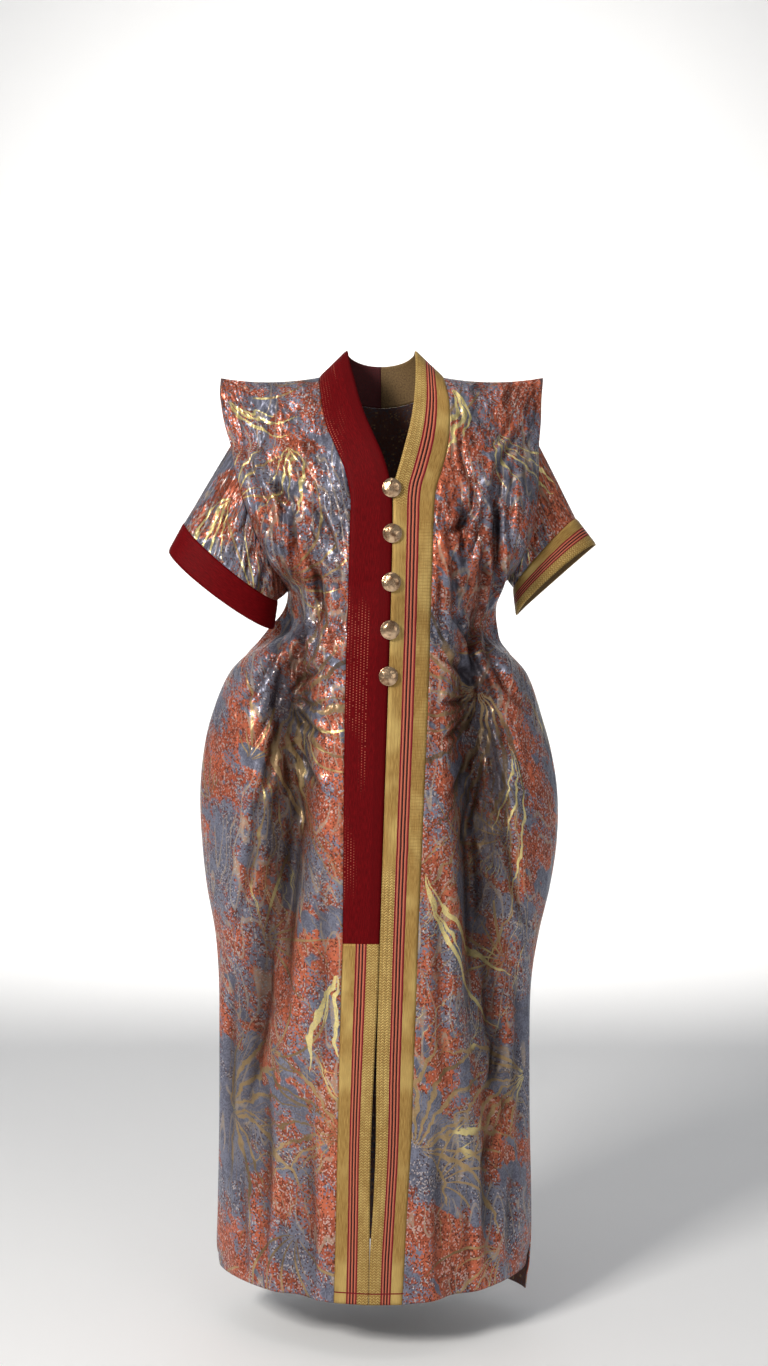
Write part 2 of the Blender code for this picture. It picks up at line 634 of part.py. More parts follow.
def main():
    brocade = finish("brocade", (0.28, 0.16, 0.15), 0.5, 0.3)
    crimson = finish("crimson_braid", (0.13, 0.004, 0.01), 0.7, 0.0)
    gold = finish("gold_braid", (0.45, 0.30, 0.10), 0.5, 0.3)
    button_metal = finish("button_metal", (0.40, 0.30, 0.20), 0.3, 1.0)

    grids = {
        "front_right": front_grid("right"),
        "front_left": front_grid("left"),
        "back": back_grid(),
    }
    top = grids["back"][0]
    full_right = collar_stations("right", top) + band_stations("right", 0.0, RED_END_LEVEL)
    lower_right = band_stations("right", RED_END_LEVEL, HEM_LEVEL)
    full_left = collar_stations("left", top) + band_stations("left", 0.0, HEM_LEVEL)
    grids["band_red"] = band_grid(full_right)
    grids["band_gold_lower"] = band_grid(lower_right)
    grids["band_gold"] = band_grid(full_left)
    for side, seam_loop, mouth_loop, cuff in (
        ("right", RIGHT_CUFF_SEAM, RIGHT_MOUTH, "cuff_red"),
        ("left", LEFT_CUFF_SEAM, LEFT_MOUTH, "cuff_gold"),
    ):
        base = armhole_loop(side)
        seam = sleeve_loop(seam_loop, len(base))
        grids["sleeve_" + side] = tube_grid(base, seam, SLEEVE_STEPS, SLEEVE_BULGE)
        grids[cuff] = tube_grid(seam, sleeve_loop(mouth_loop, len(base)), CUFF_STEPS, 0.0)

    tubes = ("sleeve_right", "sleeve_left", "cuff_red", "cuff_gold")
    normals = {name: grid_normals(grid, name in tubes) for name, grid in grids.items()}
    for name, grid in grids.items():
        settle_sign(grid, normals[name], name in tubes)
    match_seams(normals)

    finishes = {"band_red": crimson, "cuff_red": crimson, "band_gold": gold,
                "band_gold_lower": gold, "cuff_gold": gold}
    trims = {
        "front_right": ("last",),
        "front_left": ("last",),
        "back": (),
        "band_red": ("first", "top", "bottom"),
        "band_gold_lower": ("first", "top"),
        "band_gold": ("first", "top"),
        "sleeve_right": ("armhole", "bottom"),
        "sleeve_left": ("armhole", "bottom"),
        "cuff_red": ("top",),
        "cuff_gold": ("top",),
    }
    pieces = {}
    for name, grid in grids.items():
        trimmed = name in finishes
        if name in ("front_right", "front_left", "back"):
            part_seams(name, grid)
        pieces[name] = block(
            name, grid, normals[name],
            BAND_WALL if trimmed else WALL,
            BAND_PROUD if trimmed else 0.0,
            name in tubes, finishes.get(name, brocade), trims[name],
        )
    bpy.context.view_layer.update()
    bands = [pieces["band_red"], pieces["band_gold"]]
    for number, level in enumerate(BUTTON_LEVELS, start=1):
        add_button("button_%d" % number, level, button_metal, bands)


def settle_sign(grid, normals, closed):
    """Turn all the directions of a piece outwards, away from its own axis."""
    row = len(grid) // 2
    column = len(grid[0]) // 2
    point = grid[row][column]
    if closed:
        axis = sum(grid[row], Vector()) / len(grid[row])
    else:
        axis = Vector((0.0, 0.0, point.z))
    if normals[row][column].dot(point - axis) < 0:
        for line in normals:
            for direction in line:
                direction.negate()


def match_seams(normals):
    """Give the walls one direction wherever two pieces meet, so that they join in a mitre."""
    rows = len(ROW_LEVELS)
    notch = ROW_LEVELS.index(NOTCH_LEVEL)
    collar = BACK_NECK_COLUMNS // 2
    back_last = len(normals["back"][0]) - 1
    middle = back_last // 2
    flatten_y(normals["back"], 0, range(BACK_SIDE_COLUMNS + 1))
    flatten_y(normals["back"], 0, range(back_last - BACK_SIDE_COLUMNS, back_last + 1))
    for side, colour, cuff in (("right", "red", "cuff_red"), ("left", "gold", "cuff_gold")):
        under = ROW_LEVELS.index(underarm_level(side))
        front = normals["front_" + side]
        back = normals["back"]
        sleeve = normals["sleeve_" + side]
        band = normals["band_" + colour]
        back_edge = 0 if side == "right" else back_last
        for row in range(1, rows):
            if row <= notch or row >= under:
                share(front, (row, 0), back, (row, back_edge))
        around = len(sleeve[0])
        for row in range(notch + 1, under):
            share(front, (row, 0), sleeve, (0, row - notch))
            share(back, (row, back_edge), sleeve, (0, around - (row - notch)))
        for row, column in ((notch, 0), (under, under - notch)):
            body = front[row][0].normalized()
            middle_way = (body + sleeve[0][column]).normalized()
            middle_way *= min(1 / max(middle_way.dot(body), 0.01), MITRE_LIMIT)
            front[row][0] = middle_way.copy()
            back[row][back_edge] = middle_way.copy()
            sleeve[0][column] = middle_way.copy()
        for column in range(around):
            share(sleeve, (SLEEVE_STEPS, column), normals[cuff], (0, column))
        flatten_y(front, 0, range(FRONT_COLUMNS + 1))
        for row in range(1, rows):
            if colour == "gold" or row < ROW_LEVELS.index(RED_END_LEVEL):
                share(front, (row, FRONT_COLUMNS), band, (row + collar, 0))
            elif row == ROW_LEVELS.index(RED_END_LEVEL):
                share(front, (row, FRONT_COLUMNS), band, (row + collar, 0))
                normals["band_gold_lower"][0][0] = front[row][FRONT_COLUMNS].copy()
            else:
                lower_row = row - ROW_LEVELS.index(RED_END_LEVEL)
                share(front, (row, FRONT_COLUMNS), normals["band_gold_lower"], (lower_row, 0))
        for step in range(1, collar):
            column = middle - step if side == "right" else middle + step
            share(back, (0, column), band, (step, 0))
        for direction in band[0]:
            direction.x = 0.0
            direction.normalize()
        outwards = -1.0 if side == "right" else 1.0
        tip = Vector((outwards, 0.0, 1.0)) * CORNER_MITRE
        front[0][0] = tip.copy()
        back[0][back_edge] = tip.copy()
        neck = BACK_SIDE_COLUMNS if side == "right" else back_last - BACK_SIDE_COLUMNS
        point = (front[0][FRONT_COLUMNS] + band[collar][0].normalized()).normalized()
        front[0][FRONT_COLUMNS] = point.copy()
        back[0][neck] = point.copy()
        band[collar][0] = point.copy()
    for row in range(ROW_LEVELS.index(CLOSED_LEVEL), rows):
        right_band, right_row = normals["band_red"], row + collar
        if ROW_LEVELS[row] > RED_END_LEVEL:
            right_band = normals["band_gold_lower"]
            right_row = row - ROW_LEVELS.index(RED_END_LEVEL)
        share(right_band, (right_row, BAND_COLUMNS),
              normals["band_gold"], (row + collar, BAND_COLUMNS))


def band_front(bands, across, height):
    """How far forward the bands reach under a button, found by looking back at them."""
    forward = -1.0
    reach = 0.0
    for ring in range(BUTTON_RINGS + 1):
        for side in range(BUTTON_SIDES):
            angle = 2 * math.pi * side / BUTTON_SIDES
            aside = BUTTON_RADIUS * ring / BUTTON_RINGS
            start = Vector((
                across + aside * math.cos(angle),
                forward,
                height + aside * math.sin(angle),
            ))
            for band in bands:
                found, place, _, _ = band.ray_cast(start, Vector((0.0, 1.0, 0.0)))
                if found:
                    reach = min(reach, place.y)
    return reach


def add_button(name, level, material, bands):
    """Dome button with a flat back, standing on the bands where they meet."""
    across = (read(BANDS, "red_edge", level) + read(BANDS, "gold_edge", level)) / 2
    seat = band_front(bands, across, -level) - SEAM
    builder = bmesh.new()
    bmesh.ops.create_uvsphere(
        builder, u_segments=BUTTON_SIDES, v_segments=2 * BUTTON_RINGS, radius=BUTTON_RADIUS
    )
    bmesh.ops.bisect_plane(
        builder, geom=builder.verts[:] + builder.edges[:] + builder.faces[:],
        plane_co=(0, 0, 0), plane_no=(0, 0, -1), clear_outer=True, dist=1e-6,
    )
    rim = [edge for edge in builder.edges if edge.is_boundary]
    base = bmesh.ops.extrude_edge_only(builder, edges=rim)
    for item in base["geom"]:
        if isinstance(item, bmesh.types.BMVert):
            item.co.z -= BUTTON_EDGE
    rim = [edge for edge in builder.edges if edge.is_boundary]
    bmesh.ops.contextual_create(builder, geom=rim)
    for corner in builder.verts:
        if corner.co.z > 0:
            corner.co.z *= (BUTTON_DEPTH - BUTTON_EDGE) / BUTTON_RADIUS
        corner.co.z += BUTTON_EDGE
    for corner in builder.verts:
        corner.co = Vector((
            across + corner.co.x,
            seat - corner.co.z,
            -level + corner.co.y,
        ))
    bmesh.ops.recalc_face_normals(builder, faces=builder.faces)
    add_object(name, builder, material)


for item in list(bpy.data.objects):
    bpy.data.objects.remove(item, do_unlink=True)
collection = bpy.data.collections.new(NAME)
bpy.context.scene.collection.children.link(collection)
main()
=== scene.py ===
"""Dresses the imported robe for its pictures: finer cloth, creases, woven finishes and buttons.

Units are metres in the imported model's own frame. The front faces -Y, +Z is up and the
wearer's right side is at -X. The form tables are the ones that the solids were made from.
"""

import math
from collections import namedtuple
from functools import partialmethod

import bmesh
import bpy
import numpy as np
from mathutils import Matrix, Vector


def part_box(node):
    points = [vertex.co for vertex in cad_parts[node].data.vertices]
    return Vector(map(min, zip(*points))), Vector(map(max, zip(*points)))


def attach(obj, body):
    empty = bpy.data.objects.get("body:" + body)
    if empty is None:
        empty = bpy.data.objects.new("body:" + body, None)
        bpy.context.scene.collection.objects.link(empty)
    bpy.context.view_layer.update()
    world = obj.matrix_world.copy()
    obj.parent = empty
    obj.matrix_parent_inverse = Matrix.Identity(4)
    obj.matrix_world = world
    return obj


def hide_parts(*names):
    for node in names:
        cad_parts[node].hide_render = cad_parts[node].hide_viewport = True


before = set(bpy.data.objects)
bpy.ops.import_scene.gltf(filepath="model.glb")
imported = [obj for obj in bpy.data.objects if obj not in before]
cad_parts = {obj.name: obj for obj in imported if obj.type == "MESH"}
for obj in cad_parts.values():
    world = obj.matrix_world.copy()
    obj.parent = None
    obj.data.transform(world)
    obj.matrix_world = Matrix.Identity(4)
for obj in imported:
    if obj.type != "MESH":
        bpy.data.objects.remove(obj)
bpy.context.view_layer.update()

# Driving sizes, as in the solids
WALL = 0.0018
BAND_WALL = 0.0026
BAND_PROUD = 0.0012
HEM_LEVEL = 1.380
NOTCH_LEVEL = 0.105
RIGHT_UNDERARM_LEVEL = 0.330
LEFT_UNDERARM_LEVEL = 0.310
RED_END_LEVEL = 0.855
NECK_HALF_WIDTH = 0.095
NECK_BACK_DROP = 0.036
COLLAR_HALF_WIDTH = 0.053
COLLAR_RISE = 0.042
COLLAR_BACK_DEPTH = 0.058
COLLAR_BACK_DROP = 0.014
SHOULDER_SAG = 0.007
SHOULDER_MIDDLE = 0.172
SHOULDER_REACH = 0.078
FLARE_START = 0.88
LEFT_FRONT_GAPE = 0.38
BACK_CORNER_DROP = 0.038
CALM_EDGE = 0.15
SAG_REACH = 0.06
NECK_DIP_REACH = 0.14
NECK_DIP_POWER = 0.7
CORNER_LEVEL = 1.25
CORNER_TURN = 0.5
CORNER_REACH = 0.3
EDGE_POWER = 1.5
FOLD_FADE_IN = 0.05
FOLD_FADE_OUT = 0.08
SLEEVE_ROUNDNESS = 0.9
SLEEVE_BULGE = 0.02

# Sewing details
HEM_DITCH = 0.0011
HEM_DEPTH = 0.016
HEM_SPREAD = 0.004
BAND_ROUND = 0.09
BAND_EDGE_DROP = 0.0010
CUFF_CHART = 5.0
SLEEVE_CHART_U = 0.06
SLEEVE_CHART_V = -0.10

# Threads, stitches and strands: to a metre, or across a band
THREADS_ACROSS = 520.0
THREADS_DOWN = 450.0
CLUSTERS_DOWN = 330.0
STITCH_ROWS = 250.0
STITCH_COLUMNS = 13.0
STRANDS = 8.8

# Studio
FLOOR = -1.46
SWEEP_START = 5.0
SWEEP_RADIUS = 1.6
WORLD_STRENGTH = 0.30
LAMP_COLOUR = (1.0, 0.95, 0.88)
PICTURE_HEIGHT = 1366
CAMERA_FOCUS_PIXELS = 1677
CAMERA_DISTANCE = 2.6
CAMERA_X = 0.00465
CAMERA_Z = -0.473
Lamp = namedtuple("Lamp", "name x y z size power")
LAMPS = (
    Lamp("key", -2.0, -2.5, 1.1, 0.9, 120.0),
    Lamp("fill", 1.8, -2.8, 0.2, 1.6, 9.0),
    Lamp("top", -0.1, -0.3, 2.3, 1.2, 9.0),
)
BACKDROP_AIM = (0.0, 7.0, 0.2)
ROBE_MIDDLE = (0.0, 0.0, -0.6)
BACKDROP_LAMP = Lamp("backdrop", 0.0, 3.0, 1.6, 2.0, 170.0)

# The direction of each side along X
EDGE = {"right": -1.0, "left": 1.0}

# Fineness of the shown cloth
TOP_LEVEL = 0.035
TOP_ROWS = 18
ROW_STEP = 0.0042
FRONT_COLUMNS = 78
BACK_COLUMNS = 140
BAND_COLUMNS = 14
COLLAR_STEPS = 26
SLEEVE_AROUND = 132
SLEEVE_ROWS = 34
CUFF_ROWS = 12
# Fold and crease depths at which the painted shade in the folds is full
DEEP_FOLD = 0.036
DEEP_CREASE = 0.010
CREASE_STRENGTH = 1.3
CREASE_POWER = 1.6
SWELL_PLACE = 1.9
SWELL_SPREAD = 0.9
SWELL_RISE = 0.45
CALM_COLUMNS = 5
CALM_ROWS = 14
BUTTON_SIDES = 48

# Columns of the tables that aren't lengths. Every other column is in millimetres.
NUMBERS = {"point", "curl", "turn", "fan", "blades", "bend", "tone", "around", "along_from",
           "along_to", "drift", "breadth", "share"}


def measured(kind, *lines):
    """A table from lines of numbers, with its lengths turned into metres."""
    return tuple(
        kind(*(number if name in NUMBERS else round(number / 1000, 6)
               for name, number in zip(kind._fields, line)))
        for line in lines
    )


# Level: how far below the shoulder line. Right and left: half widths. Front and back: depths at
# the middle. Point: 1 for an elliptic side, 2 for a pointed one. Seam: how far back the side
# seam lies.
Section = namedtuple("Section", "level right left front back point seam")
FORM = measured(
    Section,
    (0, 248, 251, 0, 0, 2, 0),
    (8, 249, 251, 37, 34, 2, 0),
    (20, 250, 250, 58, 54, 2, 0),
    (35, 249, 249, 74, 69, 2, 0),
    (70, 243, 248, 94, 88, 2, 0),
    (105, 233, 245, 106, 99, 1.9, 0),
    (150, 222, 243, 116, 108, 1.6, 0),
    (200, 207, 238, 124, 115, 1.3, 1),
    (250, 189, 229, 129, 119, 1.1, 2),
    (285, 171, 215, 131, 121, 1, 7),
    (310, 156, 199, 132, 121, 1, 14),
    (330, 146, 186, 132, 121, 1, 23),
    (360, 142, 173, 132, 120, 1, 38),
    (388, 150, 166, 131, 119, 1, 46),
    (408, 178, 177, 131, 118, 1, 45),
    (430, 213, 205, 130, 118, 1, 40),
    (460, 240, 230, 129, 119, 1.1, 36),
    (530, 268, 254, 130, 123, 1.2, 36),
    (583, 279, 268, 133, 128, 1.2, 36),
    (645, 284, 277, 137, 133, 1.2, 35),
    (718, 281, 276, 142, 138, 1.2, 33),
    (790, 273, 265, 146, 142, 1.25, 30),
    (860, 260, 248, 148, 145, 1.3, 27),
    (930, 254, 236, 150, 148, 1.35, 25),
    (1000, 253, 232.5, 152, 150, 1.4, 24),
    (1150, 253, 232.5, 154, 154, 1.45, 22),
    (1300, 255.5, 235, 156, 158, 1.5, 21),
    (1350, 256.5, 232, 156, 159, 1.5, 20),
    (1380, 252, 226, 156, 160, 1.5, 20),
)

# Around the arms. Gape: half depth of an armhole. Curl: degrees that the left front rolls back
# behind its own fold. Flare: how much wider the back is than the front under the arm.
Arm = namedtuple("Arm", "level gape_right gape_left curl flare_right flare_left")
ARMS = measured(
    Arm,
    (105, 0, 0, 0, 0, 0),
    (135, 30, 30, 10, 0, 0),
    (165, 45, 45, 18, 0, 0),
    (195, 55, 55, 24, 0, 0),
    (225, 61, 61, 27, 0, 0),
    (255, 62, 56, 25, 0, 0),
    (285, 53, 42, 20, 0, 0),
    (310, 35, 0, 11, 0, 0),
    (330, 0, 0, 3, 0, 0),
    (360, 0, 0, 0, 12, 8),
    (388, 0, 0, 0, 28, 18),
    (408, 0, 0, 0, 16, 12),
    (430, 0, 0, 0, 0, 0),
)

# Places across the front: the band seams and the bands' free edges. A rise says how much
# higher the free edge is than the seam, and lean how far back it stands from the form.
Station = namedtuple(
    "Station", "level red_seam red_edge red_rise gold_edge gold_rise gold_seam lean"
)
BANDS = measured(
    Station,
    (0, -95, -53, 42, 53, 42, 95, 0),
    (20, -93, -48, 40, 53, 36, 99, 24),
    (45, -90, -40, 34, 52, 26, 103, 28),
    (70, -86, -32, 26, 49, 18, 104, 20),
    (95, -79, -21, 18, 44, 12, 103, 12),
    (125, -66, -9, 19, 36, 9, 99, 5),
    (155, -54, 3, 20, 28, 8, 91, 1),
    (185, -47, 12.5, 17, 20, 8, 82, 0),
    (205, -44.5, 16, 10, 18, 5, 79.5, 0),
    (235, -45.5, 17, 0, 17.6, 0, 78, 0),
    (350, -48.5, 14.6, 0, 15.2, 0, 74.5, 0),
    (500, -53, 9.8, 0, 10.4, 0, 70, 0),
    (660, -54.5, 4.4, 0, 5, 0, 63, 0),
    (855, -56, -2, 0, -1.4, 0, 54.5, 0),
    (930, -58.5, -4.5, 0, -3.5, 0, 52, 0),
    (1040, -61, -10, 0, -6.5, 0, 48, 0),
    (1150, -63.5, -14.5, 0, -7.5, 0, 44, 0),
    (1250, -65.5, -16, 0, -12, 0, 38, 0),
    (1310, -67, -16.5, 0, -16.1, 0, 35, 0),
    (1380, -69, -17.8, 0, -17.5, 0, 31, 0),
)

# Largest folds, the ones that the solids have too. Each row is one place along a fold: the
# level, where it lies across the body, its half width and how far it goes in.
Fold = namedtuple("Fold", "level place spread depth")
FOLDS = {
    "front": {
        "right_arm_valley": measured(
            Fold,
            (400, -140, 45, 10), (480, -142, 55, 44), (620, -140, 60, 50), (750, -148, 65, 42),
            (870, -172, 65, 30), (1020, -196, 60, 22), (1200, -200, 60, 10),
        ),
        "left_arm_valley": measured(
            Fold,
            (400, 150, 45, 10), (480, 148, 55, 44), (640, 150, 60, 50), (790, 154, 60, 40),
            (940, 163, 60, 28), (1100, 172, 55, 16), (1250, 176, 55, 6),
        ),
        "right_chest_gather": measured(
            Fold,
            (130, -170, 24, 4), (240, -140, 28, 12), (360, -128, 24, 6),
        ),
        "right_bust_hollow": measured(
            Fold,
            (170, -95, 26, 3), (270, -90, 32, 12), (400, -105, 28, 8), (480, -118, 24, 3),
        ),
        "left_chest_gather": measured(
            Fold,
            (130, 200, 26, 4), (240, 172, 32, 14), (350, 150, 26, 8),
        ),
        "left_bust_hollow": measured(
            Fold,
            (160, 118, 26, 4), (260, 124, 30, 13), (400, 126, 28, 8),
        ),
        "right_hem_wave": measured(
            Fold,
            (980, -112, 34, 2), (1200, -120, 36, 8), (1380, -124, 38, 10),
        ),
        "left_hem_wave": measured(
            Fold,
            (1000, 105, 32, 2), (1220, 108, 36, 8), (1380, 112, 38, 11),
        ),
    },
    "back": {
        "back_middle_fold": measured(
            Fold,
            (180, 6, 30, 2), (560, 0, 40, 16), (1380, -10, 46, 22),
        ),
        "back_right_fold": measured(
            Fold,
            (240, -100, 28, 3), (700, -108, 40, 22), (1380, -122, 44, 20),
        ),
        "back_left_fold": measured(
            Fold,
            (220, 96, 28, 3), (660, 104, 40, 20), (1380, 116, 44, 22),
        ),
        "back_right_side_fold": measured(
            Fold,
            (440, -170, 34, 8), (680, -188, 40, 24), (1200, -196, 36, 6),
        ),
        "back_left_side_fold": measured(
            Fold,
            (440, 164, 34, 8), (700, 180, 40, 22), (1200, 182, 36, 6),
        ),
    },
}

# Creases laid on the cloth. Each runs from one place (across, level) to another, bows
# sideways by its bow, and has a half width and a depth. A negative depth is a ridge.
Crease = namedtuple("Crease", "from_x from_level to_x to_level bow width depth")
CREASES = {
    "front_right": measured(
        Crease,
        # right chest: gathers falling from the shoulder into the underarm
        (-214, 110, -150, 330, 10, 6, 5), (-196, 150, -142, 340, 14, 5, 4),
        (-172, 120, -148, 290, 12, 5.5, 5), (-150, 140, -132, 315, 8, 5, 4.5),
        (-128, 170, -120, 300, -6, 4.5, 4), (-146, 80, -92, 176, -10, 6, 3.5),
        (-118, 90, -72, 160, -6, 5, 3), (-188, 105, -112, 225, -14, 6, 4.5),
        (-104, 200, -62, 330, 10, 6, 5.5), (-84, 190, -56, 280, 8, 4.5, 3.5),
        (-112, 250, -98, 420, 8, 7, 6), (-92, 270, -70, 430, -8, 6, 4.5),
        (-160, 200, -128, 235, 4, 4, 3), (-226, 50, -176, 98, 6, 6, 3),
        (-170, 225, -140, 275, 4, 4.5, -2.5),
        # right waist: folds that fan out from the pinch under the arm
        (-132, 330, -120, 480, 6, 6, 6), (-140, 480, -92, 370, 10, 6, 5.5),
        (-138, 490, -66, 440, 6, 6, 5), (-136, 498, -62, 502, -6, 5.5, 4.5),
        (-136, 505, -64, 560, -10, 6, 5), (-138, 515, -80, 640, -14, 6.5, 5),
        (-142, 520, -108, 700, -12, 7, 5), (-152, 400, -236, 520, 14, 7, 5),
        (-146, 430, -214, 590, 16, 7, 5), (-150, 470, -196, 680, 12, 8, 5.5),
        # right skirt: long soft troughs
        (-186, 620, -232, 860, 10, 10, 6), (-120, 640, -140, 980, -8, 11, 6),
        (-88, 700, -94, 1080, 6, 10, 4.5), (-160, 780, -206, 1120, 8, 11, 6),
        (-226, 900, -232, 1240, -4, 9, 4.5), (-176, 1060, -180, 1370, 6, 11, 5.5),
        (-104, 1120, -98, 1380, -4, 10, 4.5), (-148, 1180, -156, 1380, 4, 8, 4),
        (-218, 1200, -208, 1375, 4, 8, 4),
    ),
    "front_left": measured(
        Crease,
        # left chest: swirls, a hooked fold and dark creases
        (226, 70, 160, 210, -10, 6, 4.5), (206, 60, 146, 130, 8, 5.5, 3),
        (120, 110, 168, 185, -16, 6, 4.5), (104, 150, 138, 200, 12, 5, 4),
        (138, 180, 94, 255, 14, 7, 7), (150, 195, 120, 300, 12, 6, 6),
        (126, 200, 134, 330, -10, 5.5, 5), (186, 150, 176, 330, -8, 6, 5),
        (204, 130, 196, 290, -6, 5, 4), (168, 180, 164, 380, 8, 6, 5.5),
        (152, 260, 136, 420, 10, 6.5, 6), (100, 250, 108, 380, 8, 6, 4.5),
        (90, 300, 96, 420, -4, 5, 3.5), (196, 230, 170, 360, 6, 5, -3),
        (116, 226, 104, 290, 6, 5, -3),
        # left waist: folds that fan out from the pinch
        (146, 330, 142, 470, -6, 6, 6), (150, 478, 104, 360, -10, 6, 5.5),
        (148, 484, 84, 430, -6, 6, 5), (146, 492, 80, 500, 6, 5.5, 4.5),
        (146, 500, 84, 560, 10, 6, 5), (148, 510, 96, 650, 14, 6.5, 5),
        (152, 520, 116, 720, 10, 7, 5), (158, 400, 232, 520, -14, 7, 5),
        (156, 430, 216, 600, -14, 7, 5), (158, 470, 200, 690, -12, 8, 5.5),
        # left skirt
        (186, 640, 226, 850, -10, 10, 6), (126, 660, 134, 960, 8, 11, 6),
        (92, 720, 94, 1060, -5, 10, 4.5), (160, 800, 186, 1120, -8, 11, 6),
        (206, 900, 212, 1200, 4, 9, 4.5), (188, 960, 142, 1120, 12, 8, 4.5),
        (206, 1020, 150, 1200, 14, 8, 4), (168, 1080, 164, 1370, -6, 11, 5.5),
        (84, 1120, 80, 1380, 4, 10, 4.5), (138, 1180, 132, 1380, -4, 8, 4),
        (206, 1200, 196, 1375, -4, 8, 4),
    ),
    "back": measured(
        Crease,
        # back: gathers under the neck, at the underarms, and long troughs
        (-206, 110, -146, 330, 10, 6, 4.5), (-180, 130, -140, 350, 12, 6, 4.5),
        (-150, 150, -132, 340, 8, 5.5, 4), (212, 120, 172, 340, -10, 6, 4.5),
        (188, 140, 158, 350, -12, 6, 4.5), (156, 160, 146, 330, -8, 5.5, 4),
        (-60, 90, -82, 330, 6, 8, 4), (52, 100, 74, 350, -6, 8, 4),
        (-6, 120, 4, 380, 4, 8, 3.5), (-150, 400, -232, 540, 12, 7.5, 5),
        (-140, 430, -206, 620, 14, 7.5, 5), (-128, 440, -160, 700, 10, 8, 5),
        (156, 400, 226, 540, -12, 7.5, 5), (146, 430, 200, 620, -14, 7.5, 5),
        (130, 450, 156, 690, -10, 8, 5), (-62, 420, -50, 900, 6, 10, 5),
        (56, 400, 52, 860, -6, 10, 5), (-214, 700, -226, 1060, 6, 10, 5),
        (204, 680, 212, 1000, -6, 10, 5), (-160, 760, -168, 1180, 6, 11, 5.5),
        (144, 780, 152, 1220, -6, 11, 5.5), (-60, 900, -70, 1370, 5, 11, 5),
        (50, 940, 58, 1380, -4, 11, 5), (-196, 1140, -206, 1380, 4, 9, 4.5),
        (180, 1120, 190, 1390, -4, 9, 4.5), (-24, 1060, -30, 1370, 3, 8, 3.5),
        (94, 1100, 100, 1380, -3, 8, 3.5),
    ),
}

# Loops of a sleeve past its armhole, as in the solids
Loop = namedtuple("Loop", "top_x top_z low_x low_z half_depth middle_y front_drop")
LOOPS = {
    "right": measured(
        Loop,
        (-302, -225, -160, -345, 57, -12, 12),
        (-325.5, -268, -166, -389, 56, -12, 14),
    ),
    "left": measured(
        Loop,
        (305, -217, 207, -324, 46, 24, -7),
        (336, -257.5, 212, -367, 46, 24, -10),
    ),
}

# Creases on a sleeve. Around: place round the sleeve from its top over the front, 0 to 1.
# Along: 0 at the armhole, 1 at the cuff seam.
SleeveCrease = namedtuple("SleeveCrease", "around along_from along_to drift breadth depth")
SLEEVE_CREASES = {
    "right": measured(
        SleeveCrease,
        (0.1, 0.05, 0.9, 0.03, 0.016, 3),
        (0.2, 0, 0.75, -0.03, 0.014, 3.5),
        (0.31, 0.1, 1, 0.02, 0.013, 4),
        (0.4, 0, 0.85, -0.02, 0.012, 3.5),
        (0.58, 0.05, 0.95, 0.02, 0.014, 3.5),
        (0.7, 0, 0.8, -0.03, 0.016, 3.5),
        (0.83, 0.15, 1, 0.02, 0.015, 3),
    ),
    "left": measured(
        SleeveCrease,
        (0.12, 0.05, 0.85, 0.02, 0.016, 3),
        (0.24, 0.1, 1, -0.02, 0.014, 3.5),
        (0.38, 0, 0.8, 0.02, 0.013, 3),
        (0.62, 0.05, 0.9, -0.02, 0.014, 3.5),
        (0.76, 0, 0.85, 0.03, 0.015, 3.5),
        (0.88, 0.1, 0.95, -0.02, 0.015, 3),
    ),
}

# Sprays of thread. Place (across, level), direction in degrees clockwise from straight up, half
# angle of the fan, reach, number of blades, how much they bend, how wide they are, and tone:
# -1 gold thread painted a dark greenish brown, as thread in shade; 0 old gold with fine lines
# between the blades; 1 gold thread with a painted glint.
Spray = namedtuple("Spray", "u level turn fan reach blades bend widest tone")
RIGHT_SPRAYS = measured(
    Spray,
    (-178, 550, 130, 88, 260, 12, 3, 10, -1),
    (-190, 600, 180, 24, 480, 7, 0.9, 3.5, 0),
    (-292, 1195, 75, 88, 230, 9, -2.5, 12, 0),
    (-50, 1200, -70, 70, 210, 9, 2, 5.5, 0),
    (-250, 30, 148, 20, 140, 3, 5, 7, 1),
    (-142, 110, 160, 30, 190, 4, -5, 8.5, 1),
    (-56, 960, 218, 18, 170, 3, 3, 11, 1),
)
LEFT_SPRAYS = measured(
    Spray,
    (186, 525, -150, 88, 260, 12, -3, 10, -1),
    (196, 580, 178, 26, 540, 8, -0.9, 3.5, 0),
    (48, 1205, 50, 88, 240, 9, -2.5, 12, 0),
    (270, 1130, -95, 66, 190, 7, 2.5, 9, 0),
    (106, 20, 150, 18, 130, 3, -5, 8, 1),
    (186, 90, 160, 40, 200, 5, 4, 6.5, 1),
    (64, 790, 166, 14, 330, 3, 1.4, 11, 1),
    (236, 600, 172, 12, 300, 3, -1.4, 6, 1),
)
BACK_SPRAYS = measured(
    Spray,
    (-140, 520, 150, 86, 220, 10, 4, 9.5, -1),
    (150, 530, -150, 86, 210, 10, -4, 9.5, -1),
    (10, 660, 178, 28, 480, 8, 0.9, 4.5, 0),
    (20, 1150, 10, 88, 230, 10, -2.5, 12, 0),
    (-110, 110, 165, 30, 200, 4, -4, 8, 1),
)

# Buttons, on the edge where the two bands meet
BUTTONS = 5
BUTTON_RADIUS = 0.0142
ButtonRing = namedtuple("ButtonRing", "share height")
BUTTON_PROFILE = measured(
    ButtonRing,
    (0, 7.2),
    (0.3, 7.1),
    (0.55, 6.5),
    (0.74, 5.5),
    (0.87, 4.2),
    (0.93, 3.4),
    (0.96, 3.2),
    (1, 2.8),
    (1, 1.4),
    (0.97, 0),
    (0, 0),
)

# The cut of each piece: the width and length of the cloth that it takes, and its flat area
Cut = namedtuple("Cut", "width length area")


